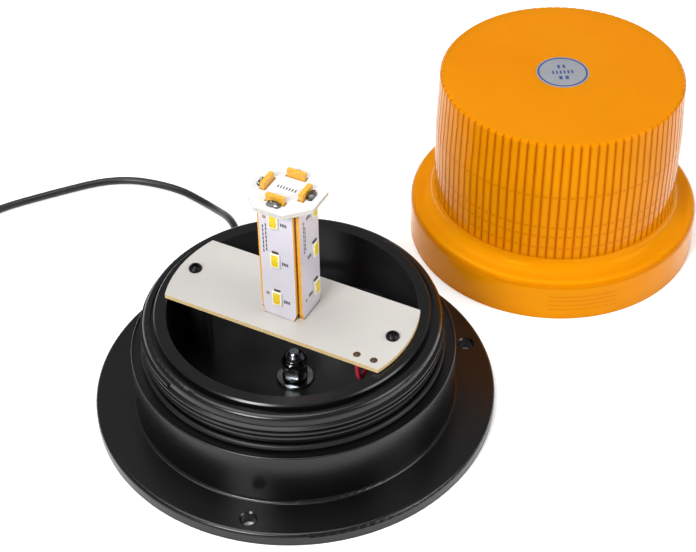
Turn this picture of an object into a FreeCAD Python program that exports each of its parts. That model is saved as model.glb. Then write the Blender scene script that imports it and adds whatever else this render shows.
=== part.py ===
import FreeCAD, Part
import math
import os

# Magnetic strobe light, opened: a round black base with a threaded neck, a column of
# LED boards on a main board, an amber screw-on lens standing beside it, and a cable
# that ends in a vehicle accessory plug. Origin: centre of the base's mounting face.
# Units are millimetres, +Z is up.

V = FreeCAD.Vector
UP = V(0, 0, 1)
ORIGIN = V(0, 0, 0)

# Running and seating clearances
SLIP = 0.05
LOOSE = 0.25
SEAT_GAP = 0.3

# How far a cutter runs past a face
CUT_SPARE = 1.0

# Magnet under the floor, from the mounting face upwards
PAD_THICKNESS = 0.9
FERRITE_THICKNESS = 2.5
CUP_PLATE = 1.4
CUP_RADIUS = 33.0
CUP_WALL = 1.4
POLE_RADIUS = 7.0
MAGNET_SPACE = 0.6

# Base housing
FLANGE_WIDTH = 14.2
FLANGE_THICKNESS = 4.6
FLANGE_ROUND = 1.3
FLANGE_HOLE_RADIUS = 2.5
FLANGE_HOLE_OFFSET = 8.0
FLANGE_HOLE_COUNT = 3
FLANGE_HOLE_ANGLE = 14.1
FLANGE_HOLE_CHAMFER = 0.5
BODY_RADIUS = 55.8
BODY_WALL = 2.7
BODY_FOOT_ROUND = 1.2
SHOULDER_HEIGHT = 25.5
SHOULDER_PLATE = 3.4
SHOULDER_ROUND = 0.4
SHOULDER_RIM = 0.65
SEAT_DEPTH = 0.6
FLOOR_PLATE = 2.1
UNDERSIDE_RIB = 1.8
UNDERSIDE_RIB_COUNT = 12

# Neck: seal groove, thread, rounded collar and the lip that the board lies across
SHOULDER_LEDGE = 4.1
NECK_THICKNESS = 9.0
NECK_WALL = 3.3
THREAD_DEPTH = 0.9
THREAD_PITCH = 2.0
THREAD_TURN_COUNT = 3.6
THREAD_CREST = 0.5
THREAD_ROOT = 1.4
THREAD_SINK = 0.3
SEAL_SECTION = 2.4
SEAL_GROOVE_DEPTH = 0.8
SEAL_GROOVE_SPARE = 0.7
COLLAR_ROUND = 1.9
LIP_WALL = 4.2
LIP_HEIGHT = 2.0
LIP_CHAMFER = 0.5
LIP_GROOVE_WIDTH = 1.2
LIP_GROOVE_DEPTH = 1.0

# Stud and its fasteners
STUD_RADIUS = 2.5
STUD_PROJECTION = 12.8
STUD_CHAMFER = 0.6
WASHER_RADIUS = 6.6
WASHER_THICKNESS = 1.2
SPRING_WASHER_RADIUS = 4.5
SPRING_WASHER_THICKNESS = 1.4
SPRING_WASHER_SPLIT = 0.8
NUT_ACROSS_FLATS = 8.0
NUT_HEIGHT = 4.7

# Main board and its screws
BOARD_ANGLE = -30.75
BOARD_WIDTH = 31.8
BOARD_THICKNESS = 1.6
BOARD_OVERHANG = 0.8
BOARD_SCREW_INSET = 4.7
BOSS_RADIUS = 4.3
BOSS_WEB = 3.0
BOSS_PROUD = 0.3
SCREW_RADIUS = 1.2
SCREW_LENGTH = 9.0
SCREW_HEAD_RADIUS = 2.3
SCREW_HEAD_HEIGHT = 1.7
SCREW_SLOT = 0.7
SCREW_SLOT_DEPTH = 0.7
WIRE_HOLE_RADIUS = 1.0
WIRE_HOLE_EDGE = 3.3
RED_HOLE_ALONG = 31.2
BLACK_HOLE_ALONG = 37.4

# Column of LED boards
COLUMN_INSIDE = 12.4
COLUMN_HEIGHT = 47.0
PANEL_THICKNESS = 1.6
PANEL_CORNER_WIDTH = 0.9
PANEL_CORNER_HEIGHT = 3.0
TAB_CLEARANCE = 0.35
TOP_TAB_WIDTH = 6.6
TOP_TAB_PROUD = 2.5
BOTTOM_TAB_PROUD = 0.8
CAP_THICKNESS = 1.6
CAP_FLAT_RADIUS = 12.5

# LEDs on the column boards: width, height, thickness, and places
LED_WIDTH = 3.3
LED_LENGTH = 5.7
LED_THICKNESS = 0.9
LED_WALL = 0.45
LED_COUNT = 3
LED_LOWEST = 8.2
LED_TOP_MARGIN = 5.8
LED_OFFSETS = {"front": -0.6, "right": 3.0, "back": 0.6, "left": -3.0}

# Solder on the cap board
SOLDER_LENGTH = 5.4
SOLDER_WIDTH = 2.6
SOLDER_HEIGHT = 1.9

# Parts on the underside of the main board
CAPACITOR_RADIUS = 4.0
CAPACITOR_LENGTH = 11.0
CAPACITOR_PLACE = (-24.0, 6.0)
CHIP_SIZE = (6.2, 5.0, 1.6)
CHIP_PLACE = (-24.0, -6.5)
CHIP_PIN_COUNT = 4
CHIP_PIN = 0.5
DIODE_SIZE = (5.4, 3.6, 2.2)
DIODE_PLACE = (22.0, 6.0)
RESISTOR_SIZE = (3.2, 1.6, 0.6)
RESISTOR_COUNT = 4
RESISTOR_PITCH = 3.4
RESISTOR_PLACE = (-14.0, -12.7)

# Lens
LENS_X = 102.9
LENS_Y = 85.6
LENS_HEIGHT = 71.9
LENS_STEP = 8.9
LENS_DRAFT = 1.1
LENS_DRAFT_FROM = 50.0
LENS_RIM_CHAMFER = 0.8
LENS_WALL = 1.9
LENS_TOP_WALL = 1.8
LENS_COVE = 4.5
LENS_COVE_WALL = 1.5
SKIRT_HEIGHT = 16.4
SKIRT_ROUND = 2.7
SKIRT_THREAD_CLEARANCE = 0.5
SKIRT_TOP_INSET = 0.15
FLUTE_COUNT = 90
FLUTE_DEPTH = 0.65
FLUTE_LAND = 0.8
INNER_RING_HEIGHTS = (21.5, 26.2, 31.4, 35.7, 49.5)
INNER_RING_WIDTH = 1.0
INNER_RING_DEPTH = 0.5
GRIP_SEGMENT_COUNT = 3
GRIP_SEGMENT_ARC = 27.0
GRIP_FIRST_ANGLE = -86.0
GRIP_RIDGE_COUNT = 4
LABEL_RADIUS = 9.7
LABEL_THICKNESS = 0.2

# Cable, its grommet and the leads inside
CABLE_RADIUS = 1.5
GLAND_ANGLE = 104.5
GLAND_BOSS_RADIUS = 5.2
GROMMET_NECK_RADIUS = 3.3
GROMMET_FLANGE_RADIUS = 4.6
GROMMET_FLANGE = 1.6
BOOT_LENGTH = 17.0
BOOT_TIP_RADIUS = 2.2
BOOT_GROOVE_COUNT = 4
CABLE_INSIDE = 4.0
LEAD_RADIUS = 0.8
LEAD_SPREAD = 0.95
CABLE_STRAIGHT = 7.9

# Free route of the cable on the floor, chosen by hand, after the end of the boot
CABLE_ROUTE = [
    V(-23.4, 88.2, 9.2),
    V(-27.0, 96.8, 5.0),
    V(-32.8, 106.8, CABLE_RADIUS),
    V(-44.8, 117.8, CABLE_RADIUS),
    V(-67.8, 125.8, CABLE_RADIUS),
    V(-94.0, 117.3, CABLE_RADIUS),
    V(-119.0, 107.5, CABLE_RADIUS),
    V(-132.4, 94.0, 2.6),
]
TAIL_ROUTE = [
    V(-135.0, 92.0, 11.6),
    V(-143.6, 86.4, 10.0),
    V(-150.4, 77.0, 9.4),
]

# Route of the red lead inside the base, chosen by hand, round behind the board
LEAD_ROUTE = [
    V(-6.9, 30.2, 12.2),
    V(3.0, 33.2, 14.2),
    V(18.5, 31.5, 19.0),
    V(29.5, 22.0, 25.0),
    V(35.0, 9.0, 29.5),
    V(33.5, -3.5, 33.0),
    V(26.0, -14.5, 34.6),
]

# Coil of the unseen length, and its tie
COIL_X = -145.0
COIL_Y = 109.2
COIL_MID_RADIUS = 17.5
COIL_HALF_WIDTH = 6.2
COIL_BOTTOM = 0.9
COIL_TOP = 14.4
COIL_ROUND = 3.0
TIE_THICKNESS = 0.7
TIE_WIDTH = 5.0
TIE_GAP = 0.15
TIE_ANGLE = 150.0

# Plug, built nose up and then laid on its side with the nose towards -Y
PLUG_X = -152.6
PLUG_BACK_Y = 36.0
PLUG_RADIUS = 11.0
PLUG_HANDLE_LENGTH = 30.0
PLUG_HANDLE_ROUND = 2.5
PLUG_GRIP_COUNT = 16
PLUG_GRIP_DEPTH = 0.6
PLUG_BARREL_RADIUS = 10.2
PLUG_BARREL_LENGTH = 28.0
PLUG_BORE_RADIUS = 4.9
PLUG_BORE_FLOOR = 12.0
NOSE_LENGTH = 8.0
NOSE_RADIUS = 8.4
NOSE_TAPER = 1.4
NOSE_COLLAR = 2.0
TIP_RADIUS = 3.4
TIP_FLANGE = 1.6
TIP_PROUD = 6.0
TIP_TRAVEL = 3.0
FUSE_RADIUS = 3.1
FUSE_LENGTH = 30.0
FUSE_CAP_LENGTH = 5.5
SPRING_WIRE = 0.4
SPRING_TURN_COUNT = 7
CONTACT_LENGTH = 18.0
CONTACT_WIDTH = 4.4
CONTACT_THICKNESS = 0.9
CONTACT_PROUD = 1.3
CONTACT_FROM = 36.0
CONTACT_TRAVEL = 1.2
RELIEF_LENGTH = 22.0
RELIEF_TIP_RADIUS = 2.4
RELIEF_ROOT_RADIUS = 4.4
RELIEF_GROOVE_COUNT = 5

# Heights and radii that follow from the sizes above
FLANGE_RADIUS = BODY_RADIUS + FLANGE_WIDTH
FLANGE_HOLE_CIRCLE = BODY_RADIUS + FLANGE_HOLE_OFFSET
THREAD_RADIUS = BODY_RADIUS - SHOULDER_LEDGE
CAVITY_RADIUS = THREAD_RADIUS - NECK_THICKNESS
FLOOR_UNDERSIDE = PAD_THICKNESS + FERRITE_THICKNESS + CUP_PLATE + SLIP
FLOOR_TOP = FLOOR_UNDERSIDE + FLOOR_PLATE
GLAND_HEIGHT = FLOOR_TOP + GROMMET_FLANGE_RADIUS + SEAT_GAP
SEAT_HEIGHT = SHOULDER_HEIGHT - SEAT_DEPTH
SEAT_RADIUS = BODY_RADIUS - SHOULDER_RIM
THREAD_CORE = THREAD_RADIUS - THREAD_DEPTH
SEAL_GROOVE_RADIUS = THREAD_CORE - SEAL_GROOVE_DEPTH
THREAD_BOTTOM = SEAT_HEIGHT + SEAL_SECTION + SEAL_GROOVE_SPARE
THREAD_TOP = THREAD_BOTTOM + THREAD_TURN_COUNT * THREAD_PITCH + THREAD_ROOT + THREAD_SINK
COLLAR_TOP = THREAD_TOP + COLLAR_ROUND
LIP_TOP = COLLAR_TOP + LIP_HEIGHT
LIP_RADIUS = CAVITY_RADIUS + LIP_WALL
BOARD_BOTTOM = LIP_TOP + BOSS_PROUD
BOARD_TOP = BOARD_BOTTOM + BOARD_THICKNESS
BOARD_END_RADIUS = CAVITY_RADIUS + BOARD_OVERHANG
BOARD_SCREW_ALONG = CAVITY_RADIUS - BOARD_SCREW_INSET
PANEL_CENTRE = (COLUMN_INSIDE + PANEL_THICKNESS) / 2
LED_SPACING = (COLUMN_HEIGHT - LED_LOWEST - LED_TOP_MARGIN) / (LED_COUNT - 1)
CAP_BOTTOM = BOARD_TOP + COLUMN_HEIGHT
CAP_TOP = CAP_BOTTOM + CAP_THICKNESS
SKIRT_RADIUS = SEAT_RADIUS - LOOSE
LENS_WALL_RADIUS = SKIRT_RADIUS - LENS_STEP
LENS_TOP_RADIUS = LENS_WALL_RADIUS - LENS_DRAFT
LENS_AXIS = V(LENS_X, LENS_Y, 0)


def line(start, end):
    return Part.LineSegment(start, end).toShape()


def arc(start, middle, end):
    return Part.Arc(start, middle, end).toShape()


def at(radius, height):
    """A point of a turned outline, in the XZ plane."""
    return V(radius, 0, height)


def outline(start, *steps):
    """Closed wire: a step of one point is a line, a step of two is an arc through the first."""
    edges = []
    here = start
    for step in steps:
        if isinstance(step, tuple):
            edges.append(arc(here, step[0], step[1]))
            here = step[1]
        else:
            edges.append(line(here, step))
            here = step
    if here.distanceToPoint(start) > 1e-7:
        edges.append(line(here, start))
    return Part.Wire(edges)


def turned(*path, arc_degrees=360.0):
    """Solid of revolution about the Z axis."""
    return Part.Face(outline(*path)).revolve(ORIGIN, UP, arc_degrees)


def corner(centre, radius, from_degrees, to_degrees):
    """Arc step of a turned outline about a centre, ending at to_degrees."""
    def point(degrees):
        angle = math.radians(degrees)
        return centre + V(radius * math.cos(angle), 0, radius * math.sin(angle))

    return (point((from_degrees + to_degrees) / 2), point(to_degrees))


def disc(radius, bottom, top, x=0.0, y=0.0):
    return Part.makeCylinder(radius, top - bottom, V(x, y, bottom))


def block(width, depth, bottom, top, x=0.0, y=0.0):
    """Box centred on x, y."""
    return Part.makeBox(width, depth, top - bottom, V(x - width / 2, y - depth / 2, bottom))


def turn(shape, degrees, axis=UP, centre=ORIGIN):
    moved = shape.copy()
    moved.rotate(centre, axis, degrees)
    return moved


def shift(shape, offset):
    moved = shape.copy()
    moved.translate(offset)
    return moved


def around(shape, count, first=0.0):
    return [turn(shape, first + 360.0 * index / count) for index in range(count)]


def board_frame(shape):
    """From the board's own axes, with X along its length, to the row's axes."""
    return turn(shape, BOARD_ANGLE)


def board_point(along, across, height):
    angle = math.radians(BOARD_ANGLE)
    cos, sin = math.cos(angle), math.sin(angle)
    return V(along * cos - across * sin, along * sin + across * cos, height)


def tangent_path(points, name):
    """Straight runs joined by arcs that use 0.45 of the shorter run on each side."""
    edges = []
    here = points[0]
    radii = []
    for before, corner_point, after in zip(points, points[1:], points[2:]):
        into = corner_point - before
        out = after - corner_point
        half_turn = into.getAngle(out) / 2
        reach = 0.45 * min(into.Length, out.Length)
        radii.append(reach / math.tan(half_turn))
        into.normalize()
        out.normalize()
        start = corner_point - into * reach
        end = corner_point + out * reach
        inward = out - into
        inward.normalize()
        depth = radii[-1] * (1 / math.cos(half_turn) - 1)
        edges.append(line(here, start))
        edges.append(arc(start, corner_point + inward * depth, end))
        here = end
    edges.append(line(here, points[-1]))
    path = Part.Wire(edges)
    print(name, "length", round(path.Length, 1), "radii", [round(r, 1) for r in radii])
    return path


def tube(points, radius, name):
    path = tangent_path(points, name)
    heading = points[1] - points[0]
    section = Part.Wire(Part.Circle(points[0], heading, radius).toShape())
    solid = path.makePipeShell([section], True, False)
    wanted = math.pi * radius ** 2 * path.Length
    print(name, "volume over section times length", round(solid.Volume / wanted, 4))
    return solid


def thread_half_root():
    """Half the ridge's width where it is sunk into the core."""
    slope = (THREAD_ROOT - THREAD_CREST) / 2 / THREAD_DEPTH
    return THREAD_ROOT / 2 + slope * THREAD_SINK


def thread_ridge():
    """Helical ridge of trapezoid section, sunk a little into the neck's core."""
    core = THREAD_RADIUS - THREAD_DEPTH - THREAD_SINK
    root = thread_half_root()
    crest = THREAD_CREST / 2
    start = THREAD_BOTTOM + root
    helix = Part.makeHelix(THREAD_PITCH, THREAD_TURN_COUNT * THREAD_PITCH, core)
    helix.translate(V(0, 0, start))
    profile = outline(at(core, start - root), at(THREAD_RADIUS, start - crest),
                      at(THREAD_RADIUS, start + crest), at(core, start + root))
    return Part.Wire(helix).makePipeShell([profile], True, True)


def base_shell():
    """Flange, body, shoulder, neck, lip and floor as one turned wall."""
    seat_in = at(SEAL_GROOVE_RADIUS, SEAT_HEIGHT)
    groove_top = THREAD_BOTTOM - (THREAD_CORE - SEAL_GROOVE_RADIUS) / 2
    collar_in = LIP_RADIUS + LIP_GROOVE_WIDTH
    inner_wall = CAVITY_RADIUS + NECK_WALL
    return turned(
        at(CUP_RADIUS + MAGNET_SPACE, 0),
        at(inner_wall, 0),
        at(inner_wall, SHOULDER_HEIGHT - SHOULDER_PLATE),
        at(BODY_RADIUS - BODY_WALL, SHOULDER_HEIGHT - SHOULDER_PLATE),
        at(BODY_RADIUS - BODY_WALL, 0),
        at(FLANGE_RADIUS, 0),
        at(FLANGE_RADIUS, FLANGE_THICKNESS - FLANGE_ROUND),
        corner(at(FLANGE_RADIUS - FLANGE_ROUND, FLANGE_THICKNESS - FLANGE_ROUND), FLANGE_ROUND, 0, 90),
        at(BODY_RADIUS + BODY_FOOT_ROUND, FLANGE_THICKNESS),
        corner(at(BODY_RADIUS + BODY_FOOT_ROUND, FLANGE_THICKNESS + BODY_FOOT_ROUND),
               BODY_FOOT_ROUND, -90, -180),
        at(BODY_RADIUS, SHOULDER_HEIGHT - SHOULDER_ROUND),
        corner(at(BODY_RADIUS - SHOULDER_ROUND, SHOULDER_HEIGHT - SHOULDER_ROUND),
               SHOULDER_ROUND, 0, 90),
        at(SEAT_RADIUS, SHOULDER_HEIGHT),
        at(SEAT_RADIUS, SEAT_HEIGHT),
        seat_in,
        at(SEAL_GROOVE_RADIUS, groove_top),
        at(THREAD_CORE, THREAD_BOTTOM),
        at(THREAD_CORE, COLLAR_TOP - COLLAR_ROUND),
        corner(at(THREAD_CORE - COLLAR_ROUND, COLLAR_TOP - COLLAR_ROUND), COLLAR_ROUND, 0, 90),
        at(collar_in, COLLAR_TOP),
        at(collar_in, COLLAR_TOP - LIP_GROOVE_DEPTH),
        at(LIP_RADIUS, COLLAR_TOP - LIP_GROOVE_DEPTH),
        at(LIP_RADIUS, LIP_TOP - LIP_CHAMFER),
        at(LIP_RADIUS - LIP_CHAMFER, LIP_TOP),
        at(CAVITY_RADIUS, LIP_TOP),
        at(CAVITY_RADIUS, FLOOR_TOP),
        at(STUD_RADIUS + LOOSE, FLOOR_TOP),
        at(STUD_RADIUS + LOOSE, FLOOR_UNDERSIDE),
        at(CUP_RADIUS + MAGNET_SPACE, FLOOR_UNDERSIDE),
    )


def screw_post(side):
    """Post for a board screw, with a web to the wall, at one end of the board."""
    place = side * BOARD_SCREW_ALONG
    post = disc(BOSS_RADIUS, FLOOR_TOP - SLIP, BOARD_BOTTOM, place)
    reach = CAVITY_RADIUS - BOARD_SCREW_ALONG + 1.0
    web = block(reach, BOSS_WEB, FLOOR_TOP - SLIP, LIP_TOP - LIP_CHAMFER, place + side * reach / 2)
    return board_frame(post.fuse(web))


def base_housing():
    shell = base_shell()
    ridge = thread_ridge()
    channel_in = CAVITY_RADIUS + NECK_WALL - 0.5
    channel_out = BODY_RADIUS - BODY_WALL + 0.5
    rib = block(channel_out - channel_in, UNDERSIDE_RIB, 0, SHOULDER_HEIGHT - SHOULDER_PLATE + 0.5,
                (channel_out + channel_in) / 2)
    ribs = around(rib, UNDERSIDE_RIB_COUNT, GLAND_ANGLE + 180.0 / UNDERSIDE_RIB_COUNT)
    gland_boss = Part.makeCylinder(GLAND_BOSS_RADIUS, channel_out - channel_in,
                                   V(channel_in, 0, GLAND_HEIGHT), V(1, 0, 0))
    body = shell.fuse([screw_post(1), screw_post(-1), turn(gland_boss, GLAND_ANGLE)] + ribs)
    body = body.fuse(ridge)
    hole = disc(FLANGE_HOLE_RADIUS, -CUT_SPARE, FLANGE_THICKNESS + CUT_SPARE, FLANGE_HOLE_CIRCLE)
    sink = Part.makeCone(FLANGE_HOLE_RADIUS, FLANGE_HOLE_RADIUS + FLANGE_HOLE_CHAMFER,
                         FLANGE_HOLE_CHAMFER, V(FLANGE_HOLE_CIRCLE, 0, FLANGE_THICKNESS - FLANGE_HOLE_CHAMFER))
    cuts = around(hole.fuse(sink), FLANGE_HOLE_COUNT, FLANGE_HOLE_ANGLE)
    for side in (1, -1):
        pilot = disc(SCREW_RADIUS + SLIP, BOARD_BOTTOM - SCREW_LENGTH, BOARD_BOTTOM + CUT_SPARE,
                     side * BOARD_SCREW_ALONG)
        cuts.append(board_frame(pilot))
    through = BODY_RADIUS - CAVITY_RADIUS + 2 * CUT_SPARE
    gland_hole = Part.makeCylinder(GROMMET_NECK_RADIUS + SLIP, through,
                                   V(CAVITY_RADIUS - CUT_SPARE, 0, GLAND_HEIGHT), V(1, 0, 0))
    cuts.append(turn(gland_hole, GLAND_ANGLE))
    return body.cut(cuts)


def neck_seal():
    radius = SEAL_GROOVE_RADIUS + SEAL_SECTION / 2 + SLIP
    return Part.makeTorus(radius, SEAL_SECTION / 2, V(0, 0, SEAT_HEIGHT + SEAL_SECTION / 2 + SLIP))


def magnet_cup():
    """Steel pot with its centre pole, open towards the mounting face."""
    bottom = PAD_THICKNESS
    plate = bottom + FERRITE_THICKNESS
    top = plate + CUP_PLATE
    return turned(
        at(STUD_RADIUS, bottom), at(POLE_RADIUS, bottom), at(POLE_RADIUS, plate),
        at(CUP_RADIUS - CUP_WALL, plate), at(CUP_RADIUS - CUP_WALL, bottom),
        at(CUP_RADIUS, bottom), at(CUP_RADIUS, top - 0.5), at(CUP_RADIUS - 0.5, top),
        at(STUD_RADIUS, top),
    )


def magnet_ring():
    inner = POLE_RADIUS + LOOSE
    outer = CUP_RADIUS - CUP_WALL - LOOSE
    bottom = PAD_THICKNESS
    return turned(at(inner, bottom), at(outer, bottom), at(outer, bottom + FERRITE_THICKNESS),
                  at(inner, bottom + FERRITE_THICKNESS))


def magnet_pad():
    edge = CUP_RADIUS
    return turned(at(0, 0), at(edge - 0.4, 0), at(edge, 0.4), at(edge, PAD_THICKNESS),
                  at(0, PAD_THICKNESS))


def mounting_stud():
    top = FLOOR_TOP + STUD_PROJECTION
    return turned(
        at(0, PAD_THICKNESS), at(STUD_RADIUS, PAD_THICKNESS), at(STUD_RADIUS, top - STUD_CHAMFER),
        at(STUD_RADIUS - STUD_CHAMFER, top), at(0, top),
    )


def stud_washer():
    bottom = FLOOR_TOP
    inner = STUD_RADIUS + LOOSE
    return turned(at(inner, bottom), at(WASHER_RADIUS, bottom),
                  at(WASHER_RADIUS, bottom + WASHER_THICKNESS - 0.2),
                  at(WASHER_RADIUS - 0.2, bottom + WASHER_THICKNESS),
                  at(inner, bottom + WASHER_THICKNESS))


def stud_spring_washer():
    """Split ring, its cut ends a little apart."""
    bottom = FLOOR_TOP + WASHER_THICKNESS
    inner = STUD_RADIUS + LOOSE
    ring = turned(at(inner, bottom), at(SPRING_WASHER_RADIUS, bottom),
                  at(SPRING_WASHER_RADIUS, bottom + SPRING_WASHER_THICKNESS),
                  at(inner, bottom + SPRING_WASHER_THICKNESS))
    split = block(SPRING_WASHER_RADIUS + 2, SPRING_WASHER_SPLIT, bottom - 1,
                  bottom + SPRING_WASHER_THICKNESS + 1, (SPRING_WASHER_RADIUS + 2) / 2)
    return ring.cut(turn(turn(split, 20, V(1, 0, 0), V(0, 0, bottom)), 40))


def stud_nut():
    bottom = FLOOR_TOP + WASHER_THICKNESS + SPRING_WASHER_THICKNESS
    top = bottom + NUT_HEIGHT
    across_corners = NUT_ACROSS_FLATS / math.cos(math.radians(30))
    corners = [V(across_corners / 2 * math.cos(math.radians(60 * k + 12)),
                 across_corners / 2 * math.sin(math.radians(60 * k + 12)), bottom) for k in range(7)]
    prism = Part.Face(Part.makePolygon(corners)).extrude(V(0, 0, NUT_HEIGHT))
    crown = 0.6
    flat = NUT_ACROSS_FLATS / 2
    barrel = turned(
        at(0, bottom), at(flat, bottom), at(flat + 2 * crown, bottom + crown),
        at(flat + 2 * crown, top - crown), at(flat, top), at(0, top),
    )
    return prism.common(barrel).cut(disc(STUD_RADIUS + SLIP, bottom - CUT_SPARE, top + CUT_SPARE))


def main_board():
    """Board with arc ends, screw holes, wire holes and slots for the four column boards."""
    strip = block(3 * BOARD_END_RADIUS, BOARD_WIDTH, BOARD_BOTTOM, BOARD_TOP)
    board = strip.common(disc(BOARD_END_RADIUS, BOARD_BOTTOM, BOARD_TOP))
    low, high = BOARD_BOTTOM - CUT_SPARE, BOARD_TOP + CUT_SPARE
    cuts = [disc(SCREW_RADIUS + LOOSE, low, high, side * BOARD_SCREW_ALONG) for side in (1, -1)]
    edge = -BOARD_WIDTH / 2 + WIRE_HOLE_EDGE
    cuts += [disc(WIRE_HOLE_RADIUS, low, high, along, edge) for along in (RED_HOLE_ALONG, BLACK_HOLE_ALONG)]
    slot = block(bottom_tab_width() + 2 * TAB_CLEARANCE, PANEL_THICKNESS + 2 * TAB_CLEARANCE, low, high,
                 0, -PANEL_CENTRE)
    cuts += around(slot, 4)
    return board_frame(board.cut(cuts))


def board_screw(side):
    head_bottom = BOARD_TOP
    head_top = head_bottom + SCREW_HEAD_HEIGHT
    dome = SCREW_HEAD_HEIGHT * 0.6
    tip = BOARD_BOTTOM - SCREW_LENGTH + SEAT_GAP
    screw = turned(
        at(0, tip), at(SCREW_RADIUS, tip + 1.5 * SCREW_RADIUS), at(SCREW_RADIUS, head_bottom),
        at(SCREW_HEAD_RADIUS, head_bottom), at(SCREW_HEAD_RADIUS, head_top - dome),
        (at(SCREW_HEAD_RADIUS * 0.75, head_top - dome * 0.3), at(0, head_top)),
    )
    arm = block(2 * SCREW_HEAD_RADIUS * 0.62, SCREW_SLOT, head_top - SCREW_SLOT_DEPTH, head_top + CUT_SPARE)
    screw = screw.cut([turn(arm, 20 * side), turn(arm, 90 + 20 * side)])
    return board_frame(shift(screw, V(side * BOARD_SCREW_ALONG, 0, 0)))


def board_screws():
    return Part.makeCompound([board_screw(side) for side in (1, -1)])


def bottom_tab_width():
    return COLUMN_INSIDE - 2 * PANEL_CORNER_WIDTH


def column_panel():
    """Front board of the column, in the board's own axes, with a tab at each end."""
    half = COLUMN_INSIDE / 2
    foot = bottom_tab_width() / 2
    tab = TOP_TAB_WIDTH / 2
    front = -PANEL_CENTRE - PANEL_THICKNESS / 2

    def point(x, z):
        return V(x, front, z)

    face = Part.Face(outline(
        point(-foot, BOARD_BOTTOM - BOTTOM_TAB_PROUD), point(foot, BOARD_BOTTOM - BOTTOM_TAB_PROUD),
        point(foot, BOARD_TOP), point(half, BOARD_TOP + PANEL_CORNER_HEIGHT),
        point(half, CAP_BOTTOM), point(tab, CAP_BOTTOM), point(tab, CAP_TOP + TOP_TAB_PROUD),
        point(-tab, CAP_TOP + TOP_TAB_PROUD), point(-tab, CAP_BOTTOM), point(-half, CAP_BOTTOM),
        point(-half, BOARD_TOP + PANEL_CORNER_HEIGHT), point(-foot, BOARD_TOP),
    ))
    return face.extrude(V(0, PANEL_THICKNESS, 0))


def cap_board():
    """Eight-sided board, with its flats across the column's four tabs."""
    radius = CAP_FLAT_RADIUS / math.cos(math.radians(22.5))
    corners = [V(radius * math.cos(math.radians(45 * k + 22.5)),
                 radius * math.sin(math.radians(45 * k + 22.5)), CAP_BOTTOM) for k in range(9)]
    plate = Part.Face(Part.makePolygon(corners)).extrude(V(0, 0, CAP_THICKNESS))
    slot = block(TOP_TAB_WIDTH + 2 * TAB_CLEARANCE, PANEL_THICKNESS + 2 * TAB_CLEARANCE,
                 CAP_BOTTOM - CUT_SPARE, CAP_TOP + CUT_SPARE, 0, -PANEL_CENTRE)
    return board_frame(plate.cut(around(slot, 4)))


def led_places():
    """Turn of each column board about Z, and the offset and height of each of its LEDs."""
    for index, offset in enumerate(LED_OFFSETS.values()):
        for row in range(LED_COUNT):
            yield 90.0 * index, offset, BOARD_TOP + LED_LOWEST + row * LED_SPACING


def led_housings():
    back = -PANEL_CENTRE - PANEL_THICKNESS / 2
    frames = []
    for degrees, offset, height in led_places():
        body = block(LED_WIDTH, LED_THICKNESS, height - LED_LENGTH / 2, height + LED_LENGTH / 2,
                     offset, back - LED_THICKNESS / 2)
        well = block(LED_WIDTH - 2 * LED_WALL, LED_THICKNESS, height - LED_LENGTH / 2 + 1.6 * LED_WALL,
                     height + LED_LENGTH / 2 - 1.6 * LED_WALL, offset, back - LED_THICKNESS)
        frames.append(turn(body.cut(well), degrees))
    return board_frame(Part.makeCompound(frames))


def led_phosphors():
    back = -PANEL_CENTRE - PANEL_THICKNESS / 2
    fills = []
    for degrees, offset, height in led_places():
        depth = LED_THICKNESS / 2 - SLIP
        fill = block(LED_WIDTH - 2 * LED_WALL, depth, height - LED_LENGTH / 2 + 1.6 * LED_WALL,
                     height + LED_LENGTH / 2 - 1.6 * LED_WALL,
                     offset, back - LED_THICKNESS / 2 - depth / 2)
        fills.append(turn(fill, degrees))
    return board_frame(Part.makeCompound(fills))


def board_solder():
    """One fillet of solder at the outer face of each tab, on the cap board."""
    outer = -PANEL_CENTRE - PANEL_THICKNESS / 2 - SLIP
    quarter = outline(
        V(-SOLDER_LENGTH / 2, outer, CAP_TOP), V(-SOLDER_LENGTH / 2, outer, CAP_TOP + SOLDER_HEIGHT * 0.7),
        (V(0, outer, CAP_TOP + SOLDER_HEIGHT), V(SOLDER_LENGTH / 2, outer, CAP_TOP + SOLDER_HEIGHT * 0.7)),
        V(SOLDER_LENGTH / 2, outer, CAP_TOP),
    )
    toe = outline(
        V(-SOLDER_LENGTH / 3, outer - SOLDER_WIDTH, CAP_TOP),
        V(-SOLDER_LENGTH / 3, outer - SOLDER_WIDTH, CAP_TOP + 0.1),
        (V(0, outer - SOLDER_WIDTH, CAP_TOP + 0.2), V(SOLDER_LENGTH / 3, outer - SOLDER_WIDTH, CAP_TOP + 0.1)),
        V(SOLDER_LENGTH / 3, outer - SOLDER_WIDTH, CAP_TOP),
    )
    fillet = Part.makeLoft([quarter, toe], True, True)
    return board_frame(Part.makeCompound(around(fillet, 4)))


def driver_chip():
    length, width, height = CHIP_SIZE
    along, across = CHIP_PLACE
    top = BOARD_BOTTOM
    body = block(length, width, top - height, top - 0.15, along, across)
    pins = []
    for index in range(CHIP_PIN_COUNT):
        x = along + (index - (CHIP_PIN_COUNT - 1) / 2) * length / (CHIP_PIN_COUNT + 0.5)
        for side in (1, -1):
            pins.append(block(CHIP_PIN, 2.2, top - 0.3, top, x, across + side * (width / 2 + 0.3)))
    return board_frame(body.fuse(pins))


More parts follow.
